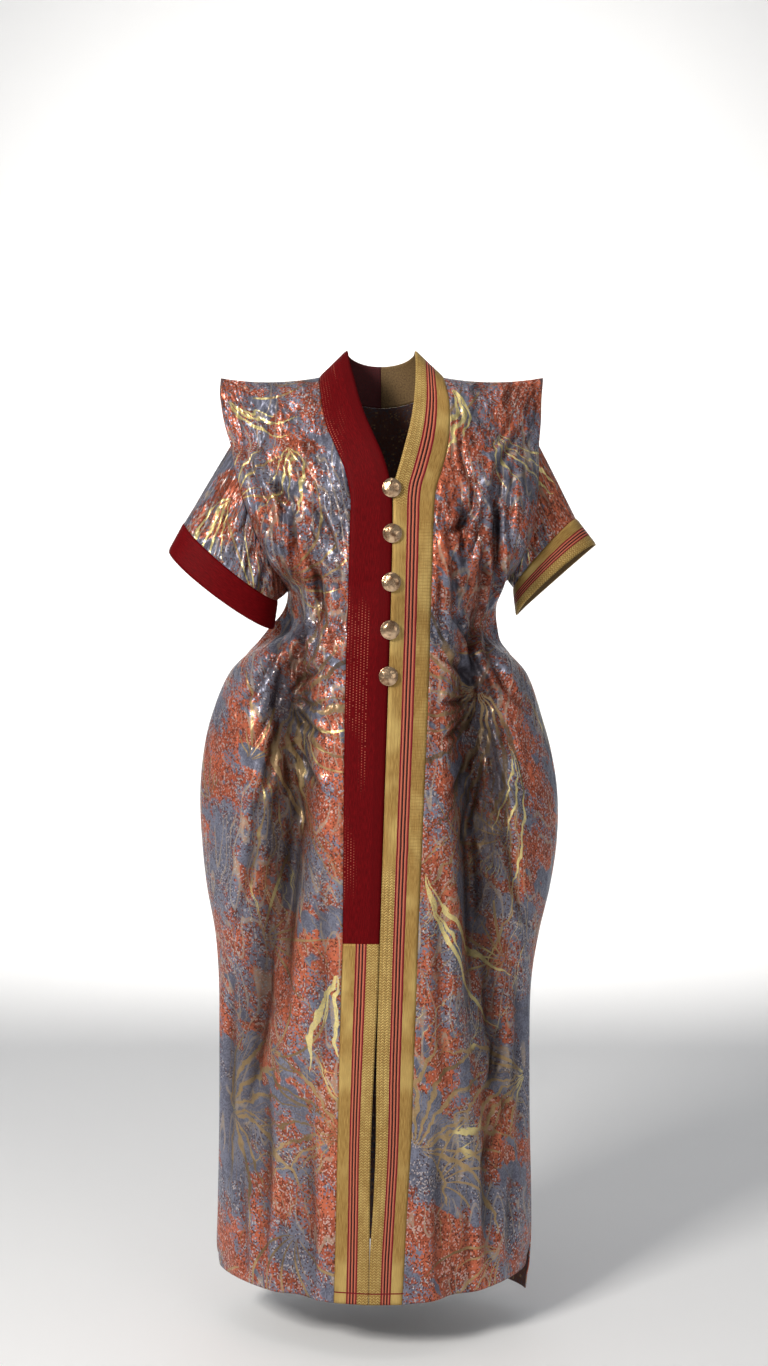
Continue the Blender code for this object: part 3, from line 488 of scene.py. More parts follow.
def read(table, column, level):
    """Values of a table's column at many levels, by a smooth curve through the rows."""
    steps = np.sqrt([row.level for row in table])
    values = np.array([getattr(row, column) for row in table], float)
    place = np.sqrt(np.clip(level, table[0].level, table[-1].level))
    index = np.clip(np.searchsorted(steps, place, side="right") - 1, 0, len(table) - 2)
    before = np.maximum(index - 1, 0)
    after = np.minimum(index + 2, len(table) - 1)
    span = steps[index + 1] - steps[index]
    part = (place - steps[index]) / span
    slope_in = (values[index + 1] - values[before]) / (steps[index + 1] - steps[before])
    slope_out = (values[after] - values[index]) / (steps[after] - steps[index])
    square, cube = part ** 2, part ** 3
    return (
        values[index] * (2 * cube - 3 * square + 1)
        + slope_in * span * (cube - 2 * square + part)
        + values[index + 1] * (3 * square - 2 * cube)
        + slope_out * span * (cube - square)
    )


def arm(column, level):
    return np.maximum(read(ARMS, column, level), 0.0)


def by_side(turn, table, stem, level):
    """A column that has a right and a left version, read for the side of each turn."""
    source = arm if table is ARMS else lambda column, at: read(FORM, column, at)
    return np.where(turn > 0, source(stem + "left", level), source(stem + "right", level))


def spread_turn(turn, point):
    even = np.clip(point - 1, 0.0, 1.0)
    return (1 - even) * turn + even * np.arcsin(np.minimum(turn, 1.0)) * 2 / np.pi


def form_points(face, turn, level):
    """Smooth outer form at arrays of turns, from -1 at the right side to 1 at the left."""
    rolled = np.where(turn > 0, np.radians(arm("curl", level)), 0.0)
    width = by_side(turn, FORM, "", level)
    flare = by_side(turn, ARMS, "flare_", level)
    gape = by_side(turn, ARMS, "gape_", level)
    if face == "back":
        width = width * np.cos(rolled) + flare
        rolled = rolled * 0.0
    else:
        gape = np.where(turn > 0, gape * LEFT_FRONT_GAPE, gape)
    sign = -1.0 if face == "front" else 1.0
    last = np.cos(np.pi / 2 + rolled)
    point = read(FORM, "point", level)
    angle = spread_turn(np.abs(turn), point) * (np.pi / 2 + rolled)
    fall = np.maximum((np.cos(angle) - last) / (1 - last), 0.0) ** point
    edge = read(FORM, "seam", level) + sign * gape
    middle = sign * read(FORM, face, level)
    across = width * np.sin(angle)
    if face == "front":
        beyond = np.maximum((np.abs(turn) - FLARE_START) / (1 - FLARE_START), 0.0)
        across = across + flare * beyond ** EDGE_POWER
    down = level + shoulder_sag(across, level) + corner_drop(face, turn, level)
    return np.stack([np.copysign(across, turn), edge + (middle - edge) * fall, -down], -1)


def shoulder_sag(across, level):
    offset = (np.abs(across) - SHOULDER_MIDDLE) / SHOULDER_REACH
    return SHOULDER_SAG * np.maximum(1 - offset ** 2, 0.0) * np.maximum(1 - level / SAG_REACH, 0.0)


def corner_drop(face, turn, level):
    if face == "front":
        return 0.0
    across = np.sin(np.clip((turn - CORNER_TURN) / CORNER_REACH, 0.0, 1.0) * np.pi / 2) ** 2
    down = np.maximum((level - CORNER_LEVEL) / (HEM_LEVEL - CORNER_LEVEL), 0.0)
    return BACK_CORNER_DROP * across * down ** EDGE_POWER


def turn_at(face, across, level):
    """The turn at which the form reaches a place across the body, away from its sides."""
    across, level = np.broadcast_arrays(np.asarray(across, float), np.asarray(level, float))
    rolled = np.where(across > 0, np.radians(arm("curl", level)), 0.0)
    width = by_side(across, FORM, "", level)
    quarter = np.pi / 2
    if face == "back":
        width = width * np.cos(rolled) + by_side(across, ARMS, "flare_", level)
    else:
        quarter = quarter + rolled
    goal = np.arcsin(np.minimum(np.abs(across) / width, 1.0)) / quarter
    point = read(FORM, "point", level)
    low, high = np.zeros(across.shape), np.ones(across.shape)
    for _ in range(30):
        middle = (low + high) / 2
        under = spread_turn(middle, point) < goal
        low = np.where(under, middle, low)
        high = np.where(under, high, middle)
    return np.copysign((low + high) / 2, across)


def fold_push(face, across, level):
    """How far all the large folds together push the cloth in."""
    push = np.zeros(across.shape)
    for rows in FOLDS[face].values():
        fade = np.minimum(1.0, 1 + (level - rows[0].level) / FOLD_FADE_IN)
        if rows[-1].level < HEM_LEVEL:
            fade = np.minimum(fade, 1 + (rows[-1].level - level) / FOLD_FADE_OUT)
        offset = (across - read(rows, "place", level)) / read(rows, "spread", level)
        bell = np.where(np.abs(offset) < 1, np.cos(offset * np.pi / 2) ** 2, 0.0)
        push += np.maximum(fade, 0.0) * read(rows, "depth", level) * bell
    return push


def cloth_points(face, turn, level):
    """The cloth's outer face with its large folds, at arrays of turns and levels."""
    turn, level = np.broadcast_arrays(np.asarray(turn, float), np.asarray(level, float))
    points = form_points(face, turn, level)
    calm = np.minimum((1 - np.abs(turn)) / CALM_EDGE, 1.0)
    push = fold_push(face, points[..., 0], level) * calm
    step = 0.01
    here = form_points(face, np.maximum(turn - step, -1.0), level)
    there = form_points(face, np.minimum(turn + step, 1.0), level)
    along = there - here
    inwards = np.stack([-along[..., 1], along[..., 0], np.zeros(turn.shape)], -1)
    inwards /= np.maximum(np.linalg.norm(inwards, axis=-1, keepdims=True), 1e-9)
    return points + inwards * (push if face == "front" else -push)[..., None]


def front_points(across, level):
    return cloth_points("front", turn_at("front", across, level), level)


def body_levels():
    """Rows close together over the shoulder and evenly spaced below it."""
    top = TOP_LEVEL * (np.arange(TOP_ROWS) / TOP_ROWS) ** 2
    count = round((HEM_LEVEL - TOP_LEVEL) / ROW_STEP)
    return np.concatenate([top, np.linspace(TOP_LEVEL, HEM_LEVEL, count + 1)])


def grid_normals(grid, closed=False):
    """Directions square to a grid of points, pointing where the first row's order says."""
    if closed:
        around = np.roll(grid, -1, axis=1) - np.roll(grid, 1, axis=1)
    else:
        around = np.gradient(grid, axis=1)
    down = np.gradient(grid, axis=0)
    normals = np.cross(around, down)
    return normals / np.maximum(np.linalg.norm(normals, axis=-1, keepdims=True), 1e-12)


def settle(grid, normals, closed=False):
    """Turn the directions outwards, judged at the middle of the grid."""
    row, column = grid.shape[0] // 2, grid.shape[1] // 2
    if closed:
        axis = grid[row].mean(axis=0)
    else:
        axis = np.array([0.0, 0.0, grid[row, column, 2]])
    return -normals if normals[row, column] @ (grid[row, column] - axis) < 0 else normals


def trough(offset, power):
    """The shape across a crease: a trough with a low swell on both sides."""
    swell = np.exp(-((np.abs(offset) - SWELL_PLACE) / SWELL_SPREAD) ** 2)
    return np.exp(-np.abs(offset) ** power) - SWELL_RISE * swell


def crease_heights(piece, across, level):
    """How far the listed creases lower or raise the cloth."""
    height = np.zeros(across.shape)
    for crease in CREASES[piece]:
        run = np.array([crease.to_x - crease.from_x, crease.to_level - crease.from_level])
        length = np.linalg.norm(run)
        run = run / length
        from_x, from_level = across - crease.from_x, level - crease.from_level
        along = (from_x * run[0] + from_level * run[1]) / length
        inside = np.clip(along, 0.0, 1.0)
        aside = from_x * run[1] - from_level * run[0] - crease.bow * 4 * inside * (1 - inside)
        ease = np.sin(inside * np.pi) ** 0.6
        width = crease.width * (0.55 + 0.45 * ease)
        offset = aside / width
        ends = np.where((along > 0) & (along < 1), ease, 0.0)
        height -= CREASE_STRENGTH * crease.depth * ends * trough(offset, CREASE_POWER)
    return height


def edge_calm(count, both):
    """Weights that bring a movement down to nothing at a row's first edge, or at both."""
    place = np.arange(count)
    if both:
        place = np.minimum(place, count - 1 - place)
    return np.clip(place / CALM_COLUMNS, 0.0, 1.0)


def flat_places(grid, start):
    """Where each point lies on the flat cloth: along its row, and down the grid."""
    steps = np.linalg.norm(np.diff(grid, axis=1), axis=-1)
    along = np.concatenate([np.zeros((grid.shape[0], 1)), np.cumsum(steps, axis=1)], axis=1)
    down = np.linalg.norm(np.diff(grid, axis=0), axis=-1).mean(axis=1)
    down = np.concatenate([[0.0], np.cumsum(down)])
    along = along - along[:, [start]]
    return along, np.broadcast_to(down[:, None], along.shape)


def placed(name, data):
    """An object in the scene with its data."""
    thing = bpy.data.objects.new(name, data)
    bpy.context.scene.collection.objects.link(thing)
    return thing


def finished(builder, name):
    """A smooth piece from the builder's faces."""
    mesh = bpy.data.meshes.new(name)
    builder.to_mesh(mesh)
    builder.free()
    mesh.shade_smooth()
    return placed(name, mesh)


def add_grid(name, points, flat, closed=False, depth=None):
    """A sheet of faces over a grid of points, with its flat places as UVs."""
    rows, columns = points.shape[:2]
    spans = columns if closed else columns - 1
    builder = bmesh.new()
    bmesh.ops.create_grid(builder, x_segments=spans, y_segments=rows - 1, size=0.5)
    places = [
        (round((0.5 - corner.co.y) * (rows - 1)), round((corner.co.x + 0.5) * spans))
        for corner in builder.verts
    ]
    builder.verts.index_update()
    chart = builder.loops.layers.uv.new("UVMap")
    width = flat[0]
    for face in builder.faces:
        for loop in face.loops:
            row, column = places[loop.vert.index]
            if column == columns:
                loop[chart].uv = (2 * width[row, -1] - width[row, -2], flat[1][row, 0])
            else:
                loop[chart].uv = (width[row, column], flat[1][row, column])
    # Each point's depth in the folds, from which the brocade paints shade
    layer = builder.verts.layers.float.new("fold_depth")
    for corner, (row, column) in zip(builder.verts, places):
        corner.co = points[row, column % columns]
        corner[layer] = 0.0 if depth is None else depth[row, column % columns]
    if closed:
        bmesh.ops.remove_doubles(builder, verts=builder.verts, dist=1e-7)
    return finished(builder, name + "_cloth")


def thicken(piece, points, normals, wall):
    """Give a sheet its wall, inwards from its outer face."""
    row, column = points.shape[0] // 2, points.shape[1] // 2
    place = Vector((points[row, column] + points[row + 1, column + 1]) / 2)
    middle = min(piece.data.polygons, key=lambda face: (face.center - place).length)
    if middle.normal @ Vector(normals[row, column]) < 0:
        piece.data.flip_normals()
    solid = piece.modifiers.new("wall", "SOLIDIFY")
    solid.thickness = wall
    solid.offset = -1.0
    solid.use_even_offset = False
    solid.material_offset = 1
    solid.material_offset_rim = 0
    return piece


def hem_height(levels):
    """The ditch that the hem's sewing line makes."""
    return HEM_DITCH * np.exp(-((levels - HEM_LEVEL + HEM_DEPTH) / HEM_SPREAD) ** 2)


def neck_dip(across):
    """How far the back's upper edge dips behind the neck."""
    inside = np.maximum(1 - (across / NECK_HALF_WIDTH) ** 2, 0.0)
    return NECK_BACK_DROP * inside ** NECK_DIP_POWER


def body_piece(name, face, turns, start, shift, calm_both):
    """A panel of the body: its form, its creases, its flat places and its wall."""
    levels = body_levels()
    if face == "back":
        across = form_points(face, turns, levels[:, None] + np.zeros(turns.shape))[..., 0]
        fade = np.maximum(1 - levels[:, None] / NECK_DIP_REACH, 0.0)
        at = levels[:, None] + neck_dip(across) * fade
    else:
        at = levels[:, None] + np.zeros(turns.shape)
    grid = cloth_points(face, turns, at)
    along, down = flat_places(grid, start)
    notch = int(np.argmin(np.abs(levels - NOTCH_LEVEL)))
    flat = (shift + along, down[notch, 0] - down - NOTCH_LEVEL)
    height = crease_heights(name, grid[..., 0], at)
    height *= edge_calm(grid.shape[1], calm_both)[None, :]
    height *= np.clip(np.arange(grid.shape[0]) / CALM_ROWS, 0.0, 1.0)[:, None]
    # How deep each place lies in the large folds and the creases, 0 to 1, from which the brocade
    # paints shade
    calm = np.minimum((1 - np.abs(turns)) / CALM_EDGE, 1.0)
    depth = fold_push(face, grid[..., 0], at) * calm / DEEP_FOLD
    depth = np.clip(depth + np.maximum(-height, 0.0) / DEEP_CREASE, 0.0, 1.0)
    height -= hem_height(levels)[:, None]
    normals = settle(grid, grid_normals(grid))
    points = grid + normals * height[..., None]
    piece = add_grid(name, points, flat, depth=depth)
    return thicken(piece, points, normals, WALL)


def front_piece(side):
    """One front, from its side edge to the band seam."""
    levels = body_levels()
    seam = read(BANDS, ("red" if side == "right" else "gold") + "_seam", levels)
    edge = EDGE[side]
    last = turn_at("front", seam, levels)
    part = np.linspace(0.0, 1.0, FRONT_COLUMNS + 1)
    turns = edge + (last[:, None] - edge) * part[None, :]
    piece = body_piece("front_" + side, "front", turns, -1, seam[:, None], False)
    if side == "left":
        mirror_flat(piece, seam, levels)
    return piece


def mirror_flat(piece, seam, levels):
    """The left front's flat places run from its seam outwards, towards +X."""
    chart = piece.data.uv_layers[0].data
    places = np.zeros(len(chart) * 2)
    chart.foreach_get("uv", places)
    places = places.reshape(-1, 2)
    line = np.interp(-places[:, 1], levels, seam)
    places[:, 0] = 2 * line - places[:, 0]
    chart.foreach_set("uv", places.ravel())


def back_piece():
    """The back, from the right side edge to the left one."""
    turns = np.linspace(-1.0, 1.0, BACK_COLUMNS + 1)
    turns = np.broadcast_to(turns, (len(body_levels()), BACK_COLUMNS + 1))
    return body_piece("back", "back", turns, BACK_COLUMNS // 2, 0.0, True)


def collar_lines(side):
    """Seam and free edge of a band behind the neck, from the middle back to the shoulder."""
    sign = EDGE[side]
    angle = np.linspace(0.0, np.pi / 2, COLLAR_STEPS, endpoint=False)
    across = sign * NECK_HALF_WIDTH * np.sin(angle)
    level = np.zeros(COLLAR_STEPS)
    seam = cloth_points("back", turn_at("back", across, level), neck_dip(across))
    edge = np.stack([
        sign * COLLAR_HALF_WIDTH * np.sin(angle),
        COLLAR_BACK_DEPTH * np.cos(angle),
        COLLAR_RISE - COLLAR_BACK_DROP * np.cos(angle),
    ], -1)
    return seam, edge


def front_lines(side, first_level, last_level):
    """Seam and free edge of a band down the front."""
    colour = "red" if side == "right" else "gold"
    levels = body_levels()
    levels = levels[(levels > first_level) & (levels < last_level)]
    levels = np.concatenate([[first_level], levels, [last_level]])
    seam = front_points(read(BANDS, colour + "_seam", levels), levels)
    edge = front_points(read(BANDS, colour + "_edge", levels), levels)
    edge[:, 1] += np.maximum(read(BANDS, "lean", levels), 0.0)
    edge[:, 2] += read(BANDS, colour + "_rise", levels)
    return levels, seam, edge


def band_profile(columns):
    """How far a band's outer face stands back towards its two long edges."""
    part = np.linspace(0.0, 1.0, columns + 1)
    near = np.minimum(part, 1 - part) / BAND_ROUND
    return part, -BAND_EDGE_DROP * np.maximum(1 - near, 0.0) ** 2


def band_piece(name, side, first_level, last_level, with_collar):
    """A band, flat between its seam and its free edge, with softly rounded edges."""
    levels, seam, edge = front_lines(side, first_level, last_level)
    if with_collar:
        collar_seam, collar_edge = collar_lines(side)
        seam = np.concatenate([collar_seam, seam])
        edge = np.concatenate([collar_edge, edge])
    part, profile = band_profile(BAND_COLUMNS)
    grid = seam[:, None, :] + (edge - seam)[:, None, :] * part[None, :, None]
    normals = settle(grid, grid_normals(grid))
    ends = np.full(grid.shape[0], BAND_PROUD)
    ends = ends - hem_height(np.concatenate([np.zeros(grid.shape[0] - len(levels)), levels]))
    points = grid + normals * (ends[:, None] + profile[None, :])[..., None]
    middle = (seam + edge) / 2
    steps = np.linalg.norm(np.diff(middle, axis=0), axis=1)
    down = np.concatenate([[0.0], np.cumsum(steps)])
    down = down[-1] - down + (HEM_LEVEL - last_level) - HEM_LEVEL
    share = np.broadcast_to(part[None, :], points.shape[:2])
    piece = add_grid(name, points, (share, np.broadcast_to(down[:, None], points.shape[:2])))
    return thicken(piece, points, normals, BAND_WALL)


def armhole_loop(side, count):
    """Edge of the armhole from the notch down the front, under the arm and up the back."""
    lowest = RIGHT_UNDERARM_LEVEL if side == "right" else LEFT_UNDERARM_LEVEL
    half = count // 2
    levels = NOTCH_LEVEL + (lowest - NOTCH_LEVEL) * np.arange(half + 1) / half
    turns = np.full(half + 1, EDGE[side])
    front = cloth_points("front", turns, levels)
    back = cloth_points("back", turns, levels)
    return np.concatenate([front, back[-2:0:-1]])


def sleeve_loop(loop, count):
    """A loop of the sleeve with as many points as the armhole, from the top round the front."""
    turn = 2 * np.pi * np.arange(count) / count
    across, front = (1 - np.cos(turn)) / 2, np.sin(turn)
    chord = np.array([loop.low_x - loop.top_x, 0.0, loop.low_z - loop.top_z])
    outwards = np.array([chord[2], 0.0, -chord[0]])
    outwards /= -np.linalg.norm(outwards) * (1 if outwards[2] > 0 else -1)
    points = np.array([loop.top_x, loop.middle_y, loop.top_z]) + chord * across[:, None]
    points[:, 1] -= loop.half_depth * np.sign(front) * np.abs(front) ** SLEEVE_ROUNDNESS
    return points + outwards * (loop.front_drop * np.maximum(front, 0.0))[:, None]


def tube_points(first, last, rows, bulge):
    part = np.linspace(0.0, 1.0, rows + 1)[:, None, None]
    grid = first[None] + (last - first)[None] * part
    middle = (first.mean(axis=0) + last.mean(axis=0)) / 2
    return grid + (grid - middle) * np.array([0.3, 1.0, 0.3]) * bulge * np.sin(part * np.pi)


def sleeve_heights(side, rows, count):
    """Creases that run along a sleeve, and the gathers where it is set in."""
    along = np.linspace(0.0, 1.0, rows + 1)[:, None]
    around = (np.arange(count) / count)[None, :]
    height = np.zeros((rows + 1, count))
    for crease in SLEEVE_CREASES[side]:
        run = (along - crease.along_from) / (crease.along_to - crease.along_from)
        inside = np.clip(run, 0.0, 1.0)
        offset = around - crease.around - crease.drift * inside
        offset = (offset + 0.5) % 1.0 - 0.5
        ease = np.sin(inside * np.pi) ** 0.7
        height -= crease.depth * ease * trough(offset / crease.breadth, 2)
    gathers = np.sin(around * 2 * np.pi * 17 + 2.2 * np.sin(around * 2 * np.pi * 5))
    return height + 0.0007 * gathers * np.exp(-along / 0.16) * np.clip(along / 0.03, 0.0, 1.0)


def sleeve_piece(side):
    base = armhole_loop(side, SLEEVE_AROUND)
    seam = sleeve_loop(LOOPS[side][0], SLEEVE_AROUND)
    grid = tube_points(base, seam, SLEEVE_ROWS, SLEEVE_BULGE)
    normals = settle(grid, grid_normals(grid, True), True)
    height = sleeve_heights(side, SLEEVE_ROWS, SLEEVE_AROUND)
    points = grid + normals * height[..., None]
    along, down = flat_places(grid, 0)
    # Depth for the painted shade: a base of 0.25 paints the whole sleeve darker, and its creases
    # darker still
    depth = np.clip(0.25 - height / DEEP_CREASE, 0.0, 1.0)
    flat = (EDGE[side] * (SLEEVE_CHART_U + along), SLEEVE_CHART_V - down)
    piece = add_grid("sleeve_" + side, points, flat, True, depth)
    return thicken(piece, points, normals, WALL)


def cuff_piece(side):
    first, last = (sleeve_loop(loop, SLEEVE_AROUND) for loop in LOOPS[side])
    grid = tube_points(first, last, CUFF_ROWS, 0.0)
    normals = settle(grid, grid_normals(grid, True), True)
    part, profile = band_profile(CUFF_ROWS)
    points = grid + normals * (BAND_PROUD + profile)[:, None, None]
    along, _ = flat_places(grid, 0)
    share = np.broadcast_to(part[:, None], along.shape)
    name = "cuff_red" if side == "right" else "cuff_gold"
    piece = add_grid(name, points, (share, CUFF_CHART + along), True)
    return thicken(piece, points, normals, BAND_WALL)


def button_piece(number):
    """A domed button, turned from its profile, where its solid lies."""
    low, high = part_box("button_%d" % number)
    builder = bmesh.new()
    profile = [builder.verts.new((ring.share * BUTTON_RADIUS, 0.0, ring.height))
               for ring in BUTTON_PROFILE]
    edges = [builder.edges.new(pair) for pair in zip(profile, profile[1:])]
    bmesh.ops.spin(
        builder, geom=profile + edges, cent=(0, 0, 0), axis=(0, 0, 1), dvec=(0, 0, 0),
        angle=2 * math.pi, steps=BUTTON_SIDES, use_merge=True,
    )
    bmesh.ops.remove_doubles(builder, verts=builder.verts, dist=1e-6)
    bmesh.ops.recalc_face_normals(builder, faces=builder.faces)
    centre = (low + high) / 2
    for corner in builder.verts:
        across, up, out = corner.co
        corner.co = Vector((centre.x + across, high.y - out, centre.z + up))
    piece = finished(builder, "dome_button_%d" % number)
    piece.data.set_sharp_from_angle(angle=math.radians(40))
    return piece


class Amount:
    """A number worked out by a material's nodes, so that sums read as sums."""

    def __init__(self, tree, socket):
        self.tree = tree
        self.socket = socket

    def work(self, operation, *others):
        node = self.tree.nodes.new("ShaderNodeMath")
        node.operation = operation
        for index, item in enumerate((self, *others)):
            plug(self.tree, item, node.inputs[index])
        return Amount(self.tree, node.outputs[0])

    __add__ = partialmethod(work, "ADD")
    __sub__ = partialmethod(work, "SUBTRACT")
    __mul__ = partialmethod(work, "MULTIPLY")
    __truediv__ = partialmethod(work, "DIVIDE")
    most = partialmethod(work, "MAXIMUM")
    least = partialmethod(work, "MINIMUM")
    size = partialmethod(work, "ABSOLUTE")
    over = partialmethod(work, "GREATER_THAN")
    under = partialmethod(work, "LESS_THAN")
    part = partialmethod(work, "FRACT")
    whole = partialmethod(work, "FLOOR")

    def invert(self):
        node = self.tree.nodes.new("ShaderNodeMath")
        node.operation = "SUBTRACT"
        node.inputs[0].default_value = 1.0
        plug(self.tree, self, node.inputs[1])
        return Amount(self.tree, node.outputs[0])

    def ramp(self, low, high):
        """0 below low, 1 above high, and smooth between."""
        node = self.tree.nodes.new("ShaderNodeMapRange")
        node.interpolation_type = "SMOOTHSTEP"
        plug(self.tree, self, node.inputs["Value"])
        node.inputs["From Min"].default_value = low
        node.inputs["From Max"].default_value = high
        return Amount(self.tree, node.outputs["Result"])


def plug(tree, item, socket):
    if isinstance(item, Amount):
        tree.links.new(item.socket, socket)
    elif isinstance(item, bpy.types.NodeSocket):
        tree.links.new(item, socket)
    elif socket.type == "RGBA":
        socket.default_value = (*item, 1.0)
    else:
        socket.default_value = item


class Cloth:
    """A material under construction, with the piece's flat places to start from."""

    def __init__(self, name, use_object=False):
        self.material = bpy.data.materials.new(name)
        self.material.use_nodes = True
        self.tree = self.material.node_tree
        self.shader = self.tree.nodes["Principled BSDF"]
        self.flat = self.node("TexCoord", {}).outputs["Object" if use_object else "UV"]
        split = self.node("SeparateXYZ", {0: self.flat})
        self.u, self.v = self.amount(split, "X"), self.amount(split, "Y")

    def node(self, kind, inputs, **settings):
        """A node of the material, with its settings made and its inputs filled or linked."""
        node = self.tree.nodes.new("ShaderNode" + kind)
        for name, value in settings.items():
            setattr(node, name, value)
        for name, item in inputs.items():
            plug(self.tree, item, node.inputs[name])
        return node

    def amount(self, node, output=0):
        return Amount(self.tree, node.outputs[output])

    def place(self, u, v, w=0.0):
        return self.node("CombineXYZ", {0: u, 1: v, 2: w}).outputs[0]

    def noise(self, vector, scale, detail=2.0, roughness=0.5, shift=0.0):
        if shift:
            steps = (shift, shift * 0.7, shift * 0.3)
            vector = self.node("VectorMath", {0: vector, 1: steps}, operation="ADD").outputs[0]
        return self.amount(self.node("TexNoise", {
            "Vector": vector, "Scale": scale, "Detail": detail, "Roughness": roughness,
        }))

    def chance(self, vector):
        """A different number from 0 to 1 for every place."""
        return self.amount(self.node("TexWhiteNoise", {"Vector": vector}, noise_dimensions="3D"))

    def cells(self, vector, scale):
        """The distance to the middle of scattered cells."""
        return self.amount(self.node("TexVoronoi", {"Vector": vector, "Scale": scale}), "Distance")

    def mix(self, share, first, second):
        """Two colours mixed. Sockets 6, 7 and 2 of the node are the ones for colours."""
        return self.node("Mix", {0: share, 6: first, 7: second}, data_type="RGBA").outputs[2]

    def bump(self, height, distance, strength=1.0, base=None):
        inputs = {"Distance": distance, "Strength": strength, "Height": height}
        if base is not None:
            inputs["Normal"] = base
        return self.node("Bump", inputs).outputs[0]

    def fold_depth(self):
        """How deep in a fold a place lies, 0 to 1, as laid down with the piece's points; it sets the
        painted shade.
        """
        return self.amount(self.node("Attribute", {}, attribute_name="fold_depth"), "Fac")

    def set(self, **values):
        for name, value in values.items():
            plug(self.tree, value, self.shader.inputs[name.replace("_", " ")])
        return self.material


def lit(red, green, blue):
    """A colour as read from a picture, in the linear numbers that a shader takes."""
    return tuple(
        value / 255 / 12.92 if value <= 10 else ((value / 255 + 0.055) / 1.055) ** 2.4
        for value in (red, green, blue)
    )


SLATE = lit(122, 125, 143)
SLATE_DEEP = lit(97, 99, 116)
RUST = lit(198, 106, 76)
RUST_DEEP = lit(156, 76, 54)
BROWN = lit(72, 44, 36)
SILVER_GLINT = lit(214, 198, 192)
OLD_GOLD = lit(178, 150, 106)
PALE_THREAD = lit(182, 164, 144)
SHADED_THREAD = lit(84, 68, 48)
FOLD_SHADE = lit(34, 18, 14)
GLINT_GOLD = lit(240, 222, 152)
CRIMSON = lit(104, 4, 10)
CRIMSON_DARK = lit(78, 0, 4)
GOLD = lit(176, 142, 80)
GOLD_LIGHT = lit(214, 188, 118)
GOLD_DARK = lit(136, 104, 54)
SALMON = lit(190, 104, 80)
DARK_RED = lit(112, 8, 28)
BLACK_BROWN = lit(42, 8, 12)


Fan = namedtuple("Fan", "turn half reach blades bend widest least lines")


def blade_fan(cloth, across, up, fan, luck_from):
    """Bent, pointed blades that leave one place, with finer lines between them."""
    far = (across * across + up * up).work("SQRT")
    turned = across.work("ARCTAN2", up) - fan.turn + far * fan.bend
    angle = turned.work("WRAP", math.pi, -math.pi)
    place = angle * (fan.blades / (2 * fan.half)) + fan.blades / 2
    mask = None
    sizes = ((1.0, fan.widest, 1.0), (3.4, 0.0013, 1.35))
    for count, widest, share in sizes if fan.lines else sizes[:1]:
        spot = place * count
        luck = cloth.chance(cloth.place(spot.whole(), luck_from, count))
        gap = 2 * fan.half / fan.blades / count
        aside = (spot.part() - 0.5 + (luck - 0.5) * 0.6).size() * far * gap
        run = (far / ((luck * (1 - fan.least) + fan.least) * (fan.reach * share))).least(1.0)
        half = run * run.invert() * (luck * widest + widest * 0.8)
        blade = (half - aside).ramp(-0.0002, 0.0004)
        mask = blade if mask is None else mask.most(blade)
    return mask * angle.size().under(fan.half) * far.over(0.006)


def spray_mask(cloth, across, up, spray, number):
    """A fan of blades, as listed in a spray's row."""
    fan = Fan(
        math.radians(spray.turn), math.radians(spray.fan), spray.reach, spray.blades,
        spray.bend, spray.widest, 0.45, spray.tone == 0,
    )
    return blade_fan(cloth, across - spray.u, up + spray.level, fan, number * 3.7)


def scattered_fans(cloth, scale, reach, shift):
    """Fans of blades scattered over the cloth, one in each large cell, all turned unlike."""
    moved = cloth.u + shift
    cells = cloth.node("TexVoronoi", {
        "Vector": cloth.place(moved, cloth.v), "Scale": scale, "Randomness": 0.8,
    })
    middle = cloth.node("SeparateXYZ", {0: cells.outputs["Position"]})
    lucks = cloth.node("SeparateColor", {0: cells.outputs["Color"]})
    turn = cloth.amount(lucks, 0) * (2 * math.pi)
    bend = (cloth.amount(lucks, 1) - 0.5) * 16.0
    fan = Fan(turn, 1.15, reach, 6, bend, 0.0058, 0.15, False)
    across, up = moved - cloth.amount(middle, "X"), cloth.v - cloth.amount(middle, "Y")
    return blade_fan(cloth, across, up, fan, cloth.amount(lucks, 2) * 97.0)


